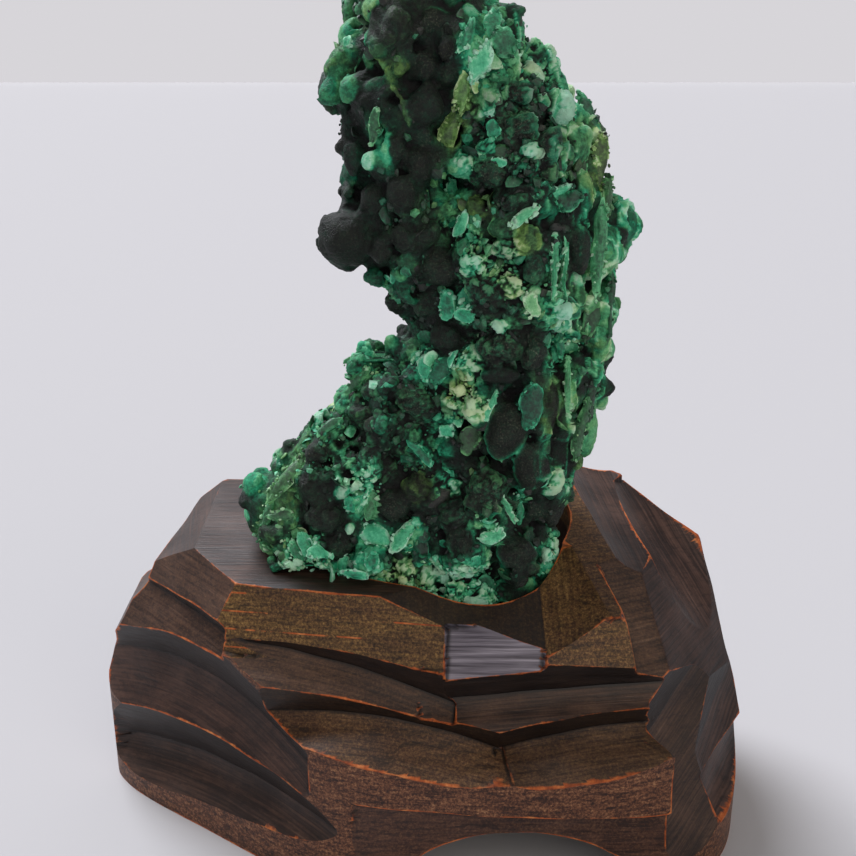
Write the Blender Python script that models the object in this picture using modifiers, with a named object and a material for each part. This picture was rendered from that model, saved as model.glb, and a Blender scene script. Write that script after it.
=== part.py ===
"""A botryoidal malachite specimen that stands in the recess of a carved hardwood stand.

Two pieces: the stone, one closed solid fused from its lumps, and the stand, one block of
wood cut with slices and gouge strokes as a carver would cut it. Lengths are in millimetres
here and are turned to metres by MM. +Z is up and the carved front of the stand faces -Y.
The origin is on the ground, under the middle of the stand.
"""
import math
import random

import bpy
import bmesh
from mathutils import Matrix, Vector

MM = 0.001

# Stand: driving sizes
STAND_BLOCK_HEIGHT = 61.5
ARCH_LEFT = -4.0
ARCH_RIGHT = 36.0
ARCH_HEIGHT = 11.5
ARCH_RUN = 90.0
ARCH_BELOW_GROUND = 5.0
PANEL_LEFT = -9.0
PANEL_RIGHT = 42.0
PANEL_TOP = 17.0
PANEL_FLOOR_Y = 29.6
RECESS_FLOOR = 44.0
CUTTER_THICKNESS = 60.0
CUTTER_TOP = 90.0
CUTTER_BELOW_GROUND = 5.0
CUTTER_FRONT_Y = 50.0

# Corner points of the stand's footprint, anticlockwise from the left, joined by a smooth curve
FOOTPRINT = (
    (-60.0, 8.0), (-57.5, -1.0), (-41.0, -13.5), (-17.0, -28.5), (8.0, -32.8), (34.0, -32.0),
    (51.0, -24.5), (58.9, -9.0), (58.8, 10.0), (50.0, 25.0), (24.0, 31.8), (-20.0, 31.8),
    (-48.0, 25.0),
)

# Outline of the stone's foot, which the recess follows
FOOT = (
    (-26.0, 0.0), (-22.0, -7.0), (-13.0, -11.5), (-3.0, -15.0), (9.0, -16.5), (19.0, -12.5),
    (25.0, -5.0), (27.0, 4.0), (20.0, 12.5), (4.0, 15.0), (-12.0, 14.0), (-24.0, 9.0),
)
FOOT_GAP = 0.6
TOP_GAP = 0.5
FLOOR_GAP = 0.3
COLLAR_LOW = (-70.0, -60.0, 20.0)
COLLAR_HIGH = (70.0, 60.0, 80.0)

# Slices, the flat cuts: a point in the middle of the cut, the way its face looks, and the half
# sizes of the cutter along the level direction and across it
SLICES = {
    "top": ((-40.0, 0.0, 52.0), (0.0, -0.137, 1.0), 62.0, 60.0),
    "shoulder": ((54.0, 0.0, 52.0), (0.1, -0.38, 1.0), 34.0, 60.0),
    "left_upper": ((-55.0, 6.0, 36.0), (-0.86, -0.05, 0.50), 60.0, 60.0),
    "left_lower": ((-60.0, 6.0, 22.0), (-0.97, 0.0, 0.24), 60.0, 60.0),
    "left_rear": ((-47.0, 18.0, 48.0), (-0.62, 0.60, 0.50), 60.0, 60.0),
    "left_rear_low": ((-54.0, 20.0, 26.0), (-0.70, 0.70, 0.16), 60.0, 60.0),
    "right_side": ((58.5, -2.0, 22.0), (0.96, -0.10, 0.24), 60.0, 60.0),
    "right_facet": ((49.0, -5.0, 40.0), (0.66, -0.25, 0.70), 60.0, 60.0),
    "right_rear": ((46.0, 20.0, 46.0), (0.62, 0.64, 0.46), 60.0, 60.0),
    "rear_upper": ((0.0, 25.5, 46.0), (0.0, 0.90, 0.43), 80.0, 60.0),
    "block_facet": ((-37.5, -10.5, 46.0), (-0.62, -0.62, 0.48), 60.0, 60.0),
    "slab_face": ((-14.0, -16.9, 50.0), (-0.14, -0.95, 0.28), 80.0, 13.0),
    "slab_end": ((8.0, -17.5, 46.5), (0.18, -0.54, 0.82), 12.0, 12.0),
    "chip_top": ((27.0, -11.0, 49.2), (-0.28, -0.45, 0.85), 9.5, 15.0),
    "front_slope": ((0.0, -26.6, 31.0), (0.0, -0.83, 0.56), 70.0, 9.5),
    "front_right": ((47.0, -17.0, 34.0), (0.66, -0.66, 0.36), 60.0, 12.0),
}

# Gouge strokes: the start and the end of the deepest line, the way the groove opens, and the
# gouge's radius at the two ends
STROKES = {
    "under_slab": ((-32.0, -17.2, 40.4), (6.0, -23.2, 32.2), (-0.10, -0.88, 0.45), 7.5, 4.4),
    "under_patch": ((4.0, -23.6, 33.0), (40.0, -22.0, 34.6), (0.05, -0.92, 0.38), 6.0, 7.0),
    "ledge_left": ((-21.0, -23.6, 29.8), (14.0, -28.3, 25.8), (0.0, -0.72, 0.69), 6.4, 5.0),
    "ledge_right": ((11.0, -28.2, 25.9), (46.0, -24.0, 30.2), (0.1, -0.72, 0.69), 5.0, 5.4),
    "corner_right": ((38.0, -24.0, 33.6), (50.0, -12.0, 33.0), (0.60, -0.70, 0.35), 7.0, 7.0),
    "side_left_upper": ((-56.0, 2.0, 32.5), (-24.5, -19.5, 34.5), (-0.60, -0.70, 0.35), 7.0, 7.0),
    "side_left_middle": ((-58.0, 2.5, 24.5), (-20.5, -23.2, 22.5), (-0.60, -0.75, 0.30), 9.0, 9.0),
    "side_left_lower": ((-52.0, -3.2, 12.5), (-16.0, -26.5, 14.0), (-0.60, -0.78, 0.10), 6.5, 6.5),
    "side_right_upper": ((46.0, -21.5, 24.0), (60.0, -3.0, 29.0), (0.75, -0.60, 0.20), 5.0, 5.0),
    "side_right_lower": ((48.0, -20.5, 14.0), (62.0, 2.0, 17.0), (0.80, -0.60, 0.10), 7.0, 7.0),
    "lobe_front": ((34.0, -8.0, 49.0), (62.0, 6.0, 33.0), (0.50, -0.30, 0.80), 16.0, 16.0),
    "lobe_inner": ((19.0, -24.0, 48.5), (19.0, 44.0, 58.0), (0.0, -0.14, 1.0), 12.0, 12.0),
    "rear_upper_left": ((-66.0, 15.0, 42.0), (2.0, 26.0, 34.0), (-0.20, 0.90, 0.35), 9.0, 6.0),
    "rear_upper_right": ((-4.0, 26.0, 34.0), (64.0, 12.0, 41.0), (0.20, 0.90, 0.35), 6.0, 9.0),
    "rear_lower_left": ((-66.0, 17.0, 20.0), (-6.0, 29.6, 25.5), (-0.2, 0.90, 0.30), 8.0, 6.0),
    "rear_lower_right": ((-10.0, 29.6, 25.5), (66.0, 16.0, 19.0), (0.2, 0.90, 0.30), 6.0, 8.0),
    "left_hollow": ((-52.0, -2.0, 41.0), (-42.0, 30.0, 44.0), (-0.80, 0.20, 0.55), 14.0, 14.0),
    "left_side": ((-59.0, -2.0, 30.0), (-50.0, 32.0, 30.0), (-0.90, 0.30, 0.30), 9.0, 9.0),
}

# Main masses of the stone: the middle of points up each mass, and its half width and half
# depth there
MASSES = {
    "ridge": (
        (6.0, -1.0, 44.0, 14.0, 10.5), (10.0, -1.0, 56.0, 11.0, 10.0),
        (13.5, -1.0, 68.0, 11.5, 10.5), (15.0, -1.0, 80.0, 13.0, 11.0),
        (16.5, 0.0, 93.0, 12.5, 12.0), (17.5, 0.0, 106.0, 11.5, 12.0),
        (16.0, 0.0, 117.0, 10.5, 11.0), (12.0, 0.0, 127.0, 9.0, 10.0),
        (6.0, 0.0, 136.0, 8.0, 9.0), (0.5, 0.0, 145.0, 5.0, 6.0),
    ),
    "column": (
        (5.0, -1.0, 92.0, 4.0, 6.0), (-1.0, -2.0, 101.0, 5.5, 7.0), (-2.5, -2.0, 110.0, 6.8, 8.0),
        (-2.5, -2.0, 120.0, 7.2, 8.5), (-3.5, -1.0, 130.0, 7.2, 8.5), (-2.5, 0.0, 140.0, 6.2, 7.5),
        (-1.5, 0.0, 147.0, 3.5, 5.0),
    ),
    "heap": (
        (-14.0, 0.0, 44.0, 11.0, 10.0), (-16.5, 0.0, 54.0, 11.5, 10.5),
        (-14.0, 0.0, 63.0, 11.0, 10.0), (-9.0, 0.0, 71.0, 9.5, 9.5), (-3.5, -1.0, 79.0, 7.0, 8.0),
        (2.0, -1.0, 87.0, 5.0, 6.0),
    ),
    "saddle": (
        (-4.0, 0.0, 44.0, 9.0, 10.5), (-2.0, 0.0, 56.0, 8.5, 9.5), (0.0, 0.0, 68.0, 7.0, 8.5),
        (4.0, 0.0, 78.0, 5.0, 7.0),
    ),
}
CORE_SPACING = 4.0
CORE_HALF_HEIGHT = 6.0

# Lumps that cover the masses: their half sizes, the space between them, the share of it that they
# stray by, how far the smallest stand out, and how tall they are for their width
LUMP_SIZES = (2.6, 4.8)
LUMP_SPACING = 5.0
LUMP_STRAY = 0.35
LUMP_LIFT = 1.0
LUMP_STRETCH = (0.85, 1.3)
FEWEST_LUMPS = 5

# Lumps that stand out: the middle, the three half sizes, and the turn about the line of sight
NAMED_LUMPS = {
    "dark_ball": ((-11.8, -5.0, 105.8), (4.9, 5.0, 4.9), 0.0),
    "ball_above": ((-11.5, -2.0, 128.5), (4.6, 5.0, 3.8), 0.0),
    "fin": ((32.0, 0.0, 107.5), (3.2, 6.0, 5.6), -12.0),
    "shoulder_right": ((26.5, 2.0, 121.0), (3.5, 6.0, 5.0), 20.0),
    "plate_right": ((29.5, -1.0, 92.0), (3.0, 8.0, 10.0), 8.0),
    "plate_low": ((27.0, -2.0, 77.0), (2.6, 7.0, 7.0), 4.0),
    "block_left": ((8.5, -11.5, 104.0), (4.4, 4.0, 4.4), 0.0),
    "block_right": ((17.5, -12.0, 104.5), (5.2, 4.0, 5.0), 0.0),
    "block_low": ((12.0, -12.0, 96.5), (6.0, 4.0, 4.6), 0.0),
    "coin_high": ((14.2, -12.5, 75.0), (2.6, 3.2, 3.8), 12.0),
    "coin_low": ((19.4, -11.0, 68.5), (2.8, 3.2, 4.4), -8.0),
    "knob": ((11.0, -13.0, 64.0), (3.9, 3.6, 3.9), 0.0),
    "knob_low": ((16.2, -14.0, 52.5), (3.4, 3.2, 3.6), 0.0),
    "knob_middle": ((8.0, -14.0, 55.0), (3.2, 3.2, 3.4), 0.0),
    "toe_left": ((-27.0, -1.0, 60.0), (5.4, 6.5, 4.6), 30.0),
    "toe_finger": ((-8.0, -13.5, 53.5), (4.4, 3.0, 2.8), -30.0),
    "toe_right": ((21.5, -7.0, 50.5), (3.6, 4.0, 3.2), 0.0),
    "fork": ((-9.5, -2.0, 84.0), (3.6, 4.5, 3.4), -35.0),
}

STONE_SEED = 7
STONE_VOXEL = 0.85
STONE_TRIANGLES = 6600


def remove_everything():
    """Empties the file of its starting objects."""
    for thing in list(bpy.data.objects):
        bpy.data.objects.remove(thing, do_unlink=True)


def new_collection(name):
    """A collection of that name in the scene."""
    made = bpy.data.collections.new(name)
    bpy.context.scene.collection.children.link(made)
    return made


def finish_material(name, colour, roughness):
    """A plain surface finish with the piece's colour."""
    made = bpy.data.materials.new(name)
    made.use_nodes = True
    shader = made.node_tree.nodes["Principled BSDF"]
    shader.inputs["Base Color"].default_value = (*colour, 1.0)
    shader.inputs["Roughness"].default_value = roughness
    shader.inputs["Metallic"].default_value = 0.0
    return made


def object_from_bmesh(name, shape, collection):
    """Puts a bmesh into a new object of that name."""
    mesh = bpy.data.meshes.new(name)
    shape.to_mesh(mesh)
    shape.free()
    made = bpy.data.objects.new(name, mesh)
    collection.objects.link(made)
    return made


def as_cutter(thing):
    """Marks an object as a cutter, which is not part of the model."""
    thing.hide_render = True
    thing.display_type = "WIRE"
    return thing


def smooth_prism(name, outline, low, high, collection, grow=0.0):
    """A flat outline through the points, filled, and raised from low to high."""
    curve = bpy.data.curves.new(name, "CURVE")
    curve.dimensions = "2D"
    curve.fill_mode = "BOTH"
    curve.extrude = (high - low) / 2 * MM
    curve.offset = grow * MM
    spline = curve.splines.new("BEZIER")
    spline.resolution_u = 4
    spline.use_cyclic_u = True
    spline.bezier_points.add(len(outline) - 1)
    for point, (x, y) in zip(spline.bezier_points, outline):
        point.co = (x * MM, y * MM, 0.0)
        point.handle_left_type = "AUTO"
        point.handle_right_type = "AUTO"
    guide = bpy.data.objects.new(name + "_curve", curve)
    guide.location.z = (low + high) / 2 * MM
    collection.objects.link(guide)
    bpy.context.view_layer.update()
    evaluated = guide.evaluated_get(bpy.context.evaluated_depsgraph_get())
    shape = bmesh.new()
    mesh = bpy.data.meshes.new_from_object(evaluated)
    shape.from_mesh(mesh)
    bmesh.ops.remove_doubles(shape, verts=shape.verts, dist=0.00001)
    bmesh.ops.recalc_face_normals(shape, faces=shape.faces)
    made = object_from_bmesh(name, shape, collection)
    made.matrix_world = guide.matrix_world
    bpy.data.objects.remove(guide, do_unlink=True)
    return made


def frame_towards(direction):
    """A turn whose +Z looks along the direction and whose +X is level."""
    z_axis = Vector(direction).normalized()
    x_axis = z_axis.cross(Vector((0.0, 0.0, 1.0)))
    if x_axis.length < 0.001:
        x_axis = Vector((1.0, 0.0, 0.0))
    x_axis.normalize()
    y_axis = z_axis.cross(x_axis)
    return Matrix((x_axis, y_axis, z_axis)).transposed().to_4x4()


def slice_cutter(name, at, facing, half_along, half_across, collection):
    """A block whose underside lies on the flat cut and looks back into the wood."""
    shape = bmesh.new()
    size = Matrix.Diagonal(
        (2 * half_along * MM, 2 * half_across * MM, CUTTER_THICKNESS * MM, 1.0))
    lift = Matrix.Translation((0.0, 0.0, CUTTER_THICKNESS / 2 * MM))
    bmesh.ops.create_cube(shape, size=1.0, matrix=lift @ size)
    made = object_from_bmesh(name, shape, collection)
    made.matrix_world = Matrix.Translation(Vector(at) * MM) @ frame_towards(facing)
    return as_cutter(made)


def stroke_cutter(name, start, end, opening, radii, collection):
    """A round rod that touches the deepest line of the stroke and lies on its open side."""
    sides = 20
    outward = Vector(opening).normalized()
    first = (Vector(start) + outward * radii[0]) * MM
    last = (Vector(end) + outward * radii[1]) * MM
    shape = bmesh.new()
    bmesh.ops.create_cone(
        shape, cap_ends=True, segments=sides, radius1=radii[0] * MM, radius2=radii[1] * MM,
        depth=(last - first).length)
    made = object_from_bmesh(name, shape, collection)
    made.matrix_world = Matrix.Translation((first + last) / 2) @ frame_towards(last - first)
    return as_cutter(made)


def box_cutter(name, low, high, collection):
    """A box between two corners."""
    low, high = Vector(low) * MM, Vector(high) * MM
    shape = bmesh.new()
    bmesh.ops.create_cube(shape, size=1.0, matrix=Matrix.Diagonal((*(high - low), 1.0)))
    made = object_from_bmesh(name, shape, collection)
    made.location = (low + high) / 2
    return as_cutter(made)


def arch_cutter(collection):
    """The opening between the feet: a low vault that runs from the front to the back."""
    half_width, rise = (ARCH_RIGHT - ARCH_LEFT) / 2, ARCH_HEIGHT + ARCH_BELOW_GROUND
    shape = bmesh.new()
    bmesh.ops.create_cone(
        shape, cap_ends=True, segments=28, radius1=1.0, radius2=1.0, depth=ARCH_RUN * MM,
        matrix=Matrix.Diagonal((half_width * MM, rise * MM, 1.0, 1.0)))
    made = object_from_bmesh("arch", shape, collection)
    lie_down = Matrix.Rotation(math.radians(90.0), 4, "X")
    place = Vector(((ARCH_LEFT + ARCH_RIGHT) / 2, 0.0, -ARCH_BELOW_GROUND)) * MM
    made.matrix_world = Matrix.Translation(place) @ lie_down
    return as_cutter(made)


def cut(body, cutter):
    """Takes the cutter's space out of the body."""
    step = body.modifiers.new(cutter.name, "BOOLEAN")
    step.operation = "DIFFERENCE"
    step.solver = "EXACT"
    step.object = cutter


def make_stand(parts, cutters):
    """The carved block of the stand with its facets, ledges, arch and recess."""
    body = smooth_prism("stand", FOOTPRINT, 0.0, STAND_BLOCK_HEIGHT, parts)
    for name, (at, facing, along, across) in SLICES.items():
        cut(body, slice_cutter("slice_" + name, at, facing, along, across, cutters))
    for name, (start, end, opening, *radii) in STROKES.items():
        cut(body, stroke_cutter("stroke_" + name, start, end, opening, radii, cutters))
    panel_low = (PANEL_LEFT, -CUTTER_FRONT_Y, -CUTTER_BELOW_GROUND)
    panel_high = (PANEL_RIGHT, -PANEL_FLOOR_Y, PANEL_TOP)
    cut(body, box_cutter("panel", panel_low, panel_high, cutters))
    cut(body, arch_cutter(cutters))
    recess = smooth_prism("recess", FOOT, RECESS_FLOOR, CUTTER_TOP, cutters)
    cut(body, as_cutter(recess))
    body.data.materials.append(finish_material("stained_hardwood", (0.055, 0.035, 0.026), 0.45))
    return body


def along_mass(points, share):
    """The middle and the half sizes at a share of the way up a mass, read from a smooth curve."""
    last = len(points) - 1
    place = min(max(share, 0.0), 0.9999) * last
    index = int(place)
    t = place - index
    before = points[max(index - 1, 0)]
    here, there = points[index], points[index + 1]
    after = points[min(index + 2, last)]
    weights = (
        (-t + 2 * t * t - t ** 3) / 2, (2 - 5 * t * t + 3 * t ** 3) / 2,
        (t + 4 * t * t - 3 * t ** 3) / 2, (-t * t + t ** 3) / 2)
    return [
        sum(weight * point[k] for weight, point in zip(weights, (before, here, there, after)))
        for k in range(5)]


def add_lump(shape, middle, half_sizes, turn=0.0, detail=2):
    """One ball of the stone, stretched to its half sizes and turned about the Y axis."""
    matrix = (
        Matrix.Translation(Vector(middle) * MM)
        @ Matrix.Rotation(math.radians(turn), 4, "Y")
        @ Matrix.Diagonal((*(Vector(half_sizes) * MM), 1.0)))
    bmesh.ops.create_icosphere(shape, subdivisions=detail, radius=1.0, matrix=matrix)


def add_core(shape, points, length):
    """The inner body of one mass: flat balls up its middle."""
    steps = int(length / CORE_SPACING)
    for k in range(steps + 1):
        x, y, z, half_width, half_depth = along_mass(points, k / steps)
        add_lump(shape, (x, y, z), (half_width, half_depth, CORE_HALF_HEIGHT))


def add_cover(shape, points, length, chance):
    """The lumps that cover one mass in broken rows. Small ones stand out further."""
    rows = int(length / LUMP_SPACING)
    for row in range(rows + 1):
        _, _, _, half_width, half_depth = along_mass(points, row / rows)
        girth = math.pi * (half_width + half_depth)
        count = max(FEWEST_LUMPS, int(girth / LUMP_SPACING))
        for k in range(count):
            share = (row + chance.uniform(-LUMP_STRAY, LUMP_STRAY)) / rows
            x, y, z, half_width, half_depth = along_mass(points, share)
            spot = k + row / 2 + chance.uniform(-LUMP_STRAY, LUMP_STRAY)
            angle = 2 * math.pi * spot / count
            size = chance.triangular(*LUMP_SIZES, LUMP_SIZES[0])
            out = chance.uniform(0.0, LUMP_LIFT) * LUMP_SIZES[0] / size
            middle = (
                x + (half_width + out) * math.cos(angle), y + (half_depth + out) * math.sin(angle),
                z)
            add_lump(shape, middle, (size, size, size * chance.uniform(*LUMP_STRETCH)))


def fuse(body):
    """Joins the overlapping balls into one skin and brings its faces down in number."""
    skin = body.modifiers.new("skin", "REMESH")
    skin.mode = "VOXEL"
    skin.voxel_size = STONE_VOXEL * MM
    bpy.context.view_layer.update()
    evaluated = body.evaluated_get(bpy.context.evaluated_depsgraph_get())
    triangles = sum(len(face.vertices) - 2 for face in evaluated.data.polygons)
    thin = body.modifiers.new("thin", "DECIMATE")
    thin.decimate_type = "COLLAPSE"
    thin.ratio = STONE_TRIANGLES / triangles
    thin.use_collapse_triangulate = True


def make_malachite(parts, cutters):
    """The stone: its masses and lumps fused in one skin, with a flat foot in the recess."""
    shape = bmesh.new()
    chance = random.Random(STONE_SEED)
    for points in MASSES.values():
        length = sum(math.dist(a[:3], b[:3]) for a, b in zip(points[:-1], points[1:]))
        add_core(shape, points, length)
        add_cover(shape, points, length, chance)
    for middle, half_sizes, turn in NAMED_LUMPS.values():
        add_lump(shape, middle, half_sizes, turn)
    body = object_from_bmesh("malachite", shape, parts)
    fuse(body)
    body.data.materials.append(finish_material("botryoidal_malachite", (0.03, 0.13, 0.08), 0.5))
    return body


def trim_foot(body, cutters):
    """Trims the stone to the recess and to the stand's top, and cuts its foot off flat.

    The collar follows the top of the stand a little above it, with a hole a little smaller
    than the recess.
    """
    lift = Vector((0.0, 0.0, TOP_GAP))
    floor = RECESS_FLOOR + FLOOR_GAP
    collar = box_cutter("collar", COLLAR_LOW, COLLAR_HIGH, cutters)
    for name in ("top", "shoulder"):
        at, facing, along, across = SLICES[name]
        raised = Vector(at) + lift
        cut(collar, slice_cutter("collar_" + name, raised, facing, along, across, cutters))
    start, end, opening, *radii = STROKES["lobe_inner"]
    hollow = stroke_cutter(
        "collar_lobe", Vector(start) + lift, Vector(end) + lift, opening, radii, cutters)
    cut(collar, hollow)
    hole = smooth_prism("collar_hole", FOOT, floor, CUTTER_TOP, cutters, -FOOT_GAP)
    cut(collar, as_cutter(hole))
    cut(body, collar)


def main():
    """Builds both pieces."""
    remove_everything()
    parts = new_collection("malachite_specimen")
    cutters = new_collection("cutters")
    make_stand(parts, cutters)
    stone = make_malachite(parts, cutters)
    trim_foot(stone, cutters)


main()
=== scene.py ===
import math

import bpy
import numpy as np
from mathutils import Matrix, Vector
from mathutils.bvhtree import BVHTree


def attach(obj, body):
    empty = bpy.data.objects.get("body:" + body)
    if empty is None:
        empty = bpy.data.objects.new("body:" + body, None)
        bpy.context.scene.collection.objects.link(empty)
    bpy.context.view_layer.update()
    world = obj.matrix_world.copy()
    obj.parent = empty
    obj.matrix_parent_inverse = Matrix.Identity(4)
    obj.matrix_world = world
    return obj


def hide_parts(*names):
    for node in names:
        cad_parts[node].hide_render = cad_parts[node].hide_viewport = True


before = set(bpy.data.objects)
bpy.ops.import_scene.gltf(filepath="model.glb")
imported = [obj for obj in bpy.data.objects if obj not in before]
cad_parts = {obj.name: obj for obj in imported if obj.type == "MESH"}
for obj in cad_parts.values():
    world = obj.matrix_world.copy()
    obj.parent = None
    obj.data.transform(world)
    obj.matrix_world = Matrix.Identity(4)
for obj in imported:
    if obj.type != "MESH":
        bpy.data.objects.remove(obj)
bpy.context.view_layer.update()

MM = 0.001

# The stand's outlines, in millimetres seen from above: the block, and the recess that holds the
# stone's foot.
FOOTPRINT = (
    (-60, 8), (-57.5, -1), (-41, -13.5), (-17, -28.5), (8, -32.8), (34, -32), (51, -24.5),
    (58.9, -9), (58.8, 10), (50, 25), (24, 31.8), (-20, 31.8), (-48, 25))
RECESS = (
    (-26, 0), (-22, -7), (-13, -11.5), (-3, -15), (9, -16.5), (19, -12.5), (25, -5), (27, 4),
    (20, 12.5), (4, 15), (-12, 14), (-24, 9))
BLOCK_TOP = 61.5
SIDE_GAP = 0.7   # keeps the carving inside the solid's own sides
RECESS_FLOOR = 44.0
ARCH_MIDDLE, ARCH_HALF_WIDTH, ARCH_HEIGHT = 16.0, 20.0, 11.5

# Flat saw and knife cuts: a point on the cut, the way it faces, and how far it runs to each side
# along the level and across it, in millimetres. The last three of every cut say how gold, how red
# and how glossy the stain is there. The glossiest face also gets a violet-grey painted reflection.
FLATS = {
    "top": ((-40, 0, 52), (0, -.137, 1), 62, 60, (0, 0, .5)),
    "shoulder": ((54, 0, 52), (.1, -.38, 1), 34, 60, (.5, .2, .1)),
    "left_light": ((-44, 2, 49.4), (-.55, -.1, .83), 60, 60, (0, 0, .7)),
    "left_upper": ((-55, 6, 36), (-.86, -.05, .5), 60, 60, (0, 0, .6)),
    "left_lower": ((-60, 6, 22), (-.97, 0, .24), 60, 60, (0, .2, .3)),
    "left_rear": ((-47, 18, 48), (-.62, .6, .5), 60, 60, (0, 0, .4)),
    "left_rear_low": ((-54, 20, 26), (-.7, .7, .16), 60, 60, (0, .2, .3)),
    "right_side": ((58.5, -2, 22), (.96, -.1, .24), 60, 60, (0, .1, .3)),
    "right_rear": ((46, 20, 46), (.62, .64, .46), 60, 60, (0, 0, .4)),
    "rear_upper": ((0, 25.5, 46), (0, .9, .43), 80, 60, (.2, .1, .2)),
    "block": ((-37.5, -10.5, 46), (-.65, -.6, .46), 60, 60, (.1, .1, .3)),
    "slab": ((-14, -17.2, 50), (-.14, -.95, .28), 80, 12, (1, .2, .1)),
    # The patch is the glossiest face, and its colour is a painted reflection.
    "patch": ((12.5, -22.1, 40), (-.03, -.92, .39), 8, 5.4, (0, 0, 1)),
    "chip": ((27, -22.4, 40.6), (.1, -.93, .36), 8.6, 6, (.9, .3, .1)),
    "right_scoop": ((46, -11, 43.5), (.26, -.65, .71), 13.5, 60, (.15, .1, .3)),
    "right_facet": ((41, -12.5, 43), (.67, -.44, .6), 60, 60, (0, 0, .5)),
}

# Round gouge strokes: the two ends of the deepest line, the open side, and the two radii.
ROUNDS = {
    "lobe_one": ((29, 26, 61), (36, -9, 50), (.49, -.34, .8), 13, 14, (0, 0, .6)),
    "lobe_two": ((39, 20, 56.5), (55, -9, 32.5), (.5, -.42, .75), 14, 16, (0, 0, .6)),
    "lobe_inner": ((16.5, -24, 48.5), (16.5, 44, 58), (0, -.14, 1), 12, 12, (.3, .1, .2)),
    "rear_upper_left": ((-66, 15, 42), (2, 26, 34), (-.2, .9, .35), 9, 6, (.1, .1, .3)),
    "rear_upper_right": ((-4, 26, 34), (64, 12, 41), (.2, .9, .35), 6, 9, (.1, .1, .3)),
    "rear_lower_left": ((-66, 17, 20), (-6, 29.6, 25.5), (-.2, .9, .3), 8, 6, (.1, .1, .3)),
    "rear_lower_right": ((-10, 29.6, 25.5), (66, 16, 19), (.2, .9, .3), 6, 8, (.1, .1, .3)),
    "left_hollow": ((-52, -2, 41), (-42, 30, 44), (-.8, .2, .55), 14, 14, (0, 0, .7)),
    "left_side": ((-59, -2, 30), (-50, 32, 30), (-.9, .3, .3), 9, 9, (0, .1, .4)),
    "side_right_lower": ((48, -20.5, 14), (62, 2, 17), (.8, -.6, .1), 7, 7, (0, 0, .4)),
}

# V-shaped gouge strokes, which make the ledges: the two ends of the crease, the way up the short
# steep wall from the crease's middle, the way down the broad hollow wall, how far the crease's
# middle bows, how hollow the broad wall is, and how far the crease comes out towards its ends.
GOUGES = {
    "shoulder_valley": (
        (20.7, -28, 37.9), (20.7, -6, 50.5), (-10, 0, 2.25), (10, 0, 3.8), (0, 0, 0),
        .3, 0, (.8, .2, .1)),
    "under_slab": (
        (-31, -17.2, 41.0), (5, -21.6, 31.8), (0, -1.5, 3.3), (0, -4.8, -4.3), (0, .5, 1.2),
        .4, (0, .9), (.15, .1, .2)),
    "under_ledge_left": (
        (-25, -20.6, 29.4), (13.1, -24.8, 24.9), (0, -1.5, 3.6), (0, -6, -3.7), (0, 0, 2.4),
        .5, (0, 2.4), (.4, .2, .2)),
    "under_ledge_right": (
        (13.1, -24.8, 24.9), (40, -22.5, 28.6), (0, -1.6, 3.7), (0, -6, -3), (0, 0, 1.1),
        .5, (2.4, 1.6), (.3, .1, .2)),
    "under_patch": (
        (1, -21.9, 32.1), (41, -21, 35.3), (0, -1.2, 3.6), (0, -3.7, -3), (0, 0, .2),
        .3, 0, (.1, 0, .6)),
    "panel": (
        (-9.5, -29.4, 17.2), (42, -28.4, 14.8), (0, -2.2, 1.2), (0, -.5, -14), (0, 0, -.8),
        0, 0, (0, .3, .6)),
    "left_upper_scallop": (
        (-60.8, 6.8, 26), (-18.2, -25.4, 22.4), (-1.5, -2.1, 6.0), (-3.2, -4.2, -11.7),
        (.6, .8, 6.0), .6, 0, (0, .05, .4)),
    "left_lower_scallop": (
        (-56.5, 3, 9.2), (-14.2, -28.3, 11.6), (-1.6, -2.2, 6.2), (-2.0, -2.9, -5.6),
        (.6, .8, 2.6), .5, 0, (.05, 0, .4)),
    "block_crease": (
        (-54, 6, 41.9), (-32.5, -15, 40.8), (-.9, -.9, 2.2), (-1.6, -1.6, -3.6), (0, 0, .6),
        .1, 0, (.1, .1, .3)),
    "right_corner": (
        (49.5, -12.5, 37), (38.2, -22.6, 26.2), (-.8, -1, 2.4), (5.7, 1, -4.6), (0, 0, 0),
        .4, 0, (.1, 0, .4)),
    "right_upper": (
        (57.5, -4, 33), (47.6, -19.5, 21.5), (-1.5, -1.5, 2.5), (3.2, -.6, -6), (0, 0, 0),
        .3, 0, (0, 0, .4)),
}

OVERRUN = 0.9    # how far, in millimetres, a stroke passes the end of its crease
END_LEAN = 0.2   # how much a stroke's end wall leans outwards, for each millimetre of height
WAVER = 0.12     # how far, in millimetres, a hand-made cut strays from its true line
HEART = np.array((10.0, 0.0, 24.0))   # the point inside the wood that every ray starts from
COLUMNS, TOP_ROWS, SIDE_ROWS, BASE_ROWS = ((560, 44, 108, 12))
SMALL_BEND, LARGE_BEND = 16, 50   # degrees between two faces where wear starts, and where it is full


def unit(vector):
    """The vector at length 1."""
    vector = np.asarray(vector, float)
    return vector / np.linalg.norm(vector)


def units(rows):
    """Each row at length 1."""
    return rows / np.linalg.norm(rows, axis=-1, keepdims=True)


def smooth_outline(corners, steps=40):
    """Closed curve through the corners: each span is the cubic whose slope at a corner is half the
    way from the corner before to the corner after."""
    here = np.asarray(corners, float)
    before, after, later = np.roll(here, 1, 0), np.roll(here, -1, 0), np.roll(here, -2, 0)
    t = np.linspace(0, 1, steps, endpoint=False)[None, :, None]
    b, h, a, l = (part[:, None, :] for part in (before, here, after, later))
    curve = h + t * (a - b) / 2 + t ** 2 * (b - 2.5 * h + 2 * a - l / 2)
    curve = curve + t ** 3 * (-b + 3 * h - 3 * a + l) / 2
    return curve.reshape(-1, 2)


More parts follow.
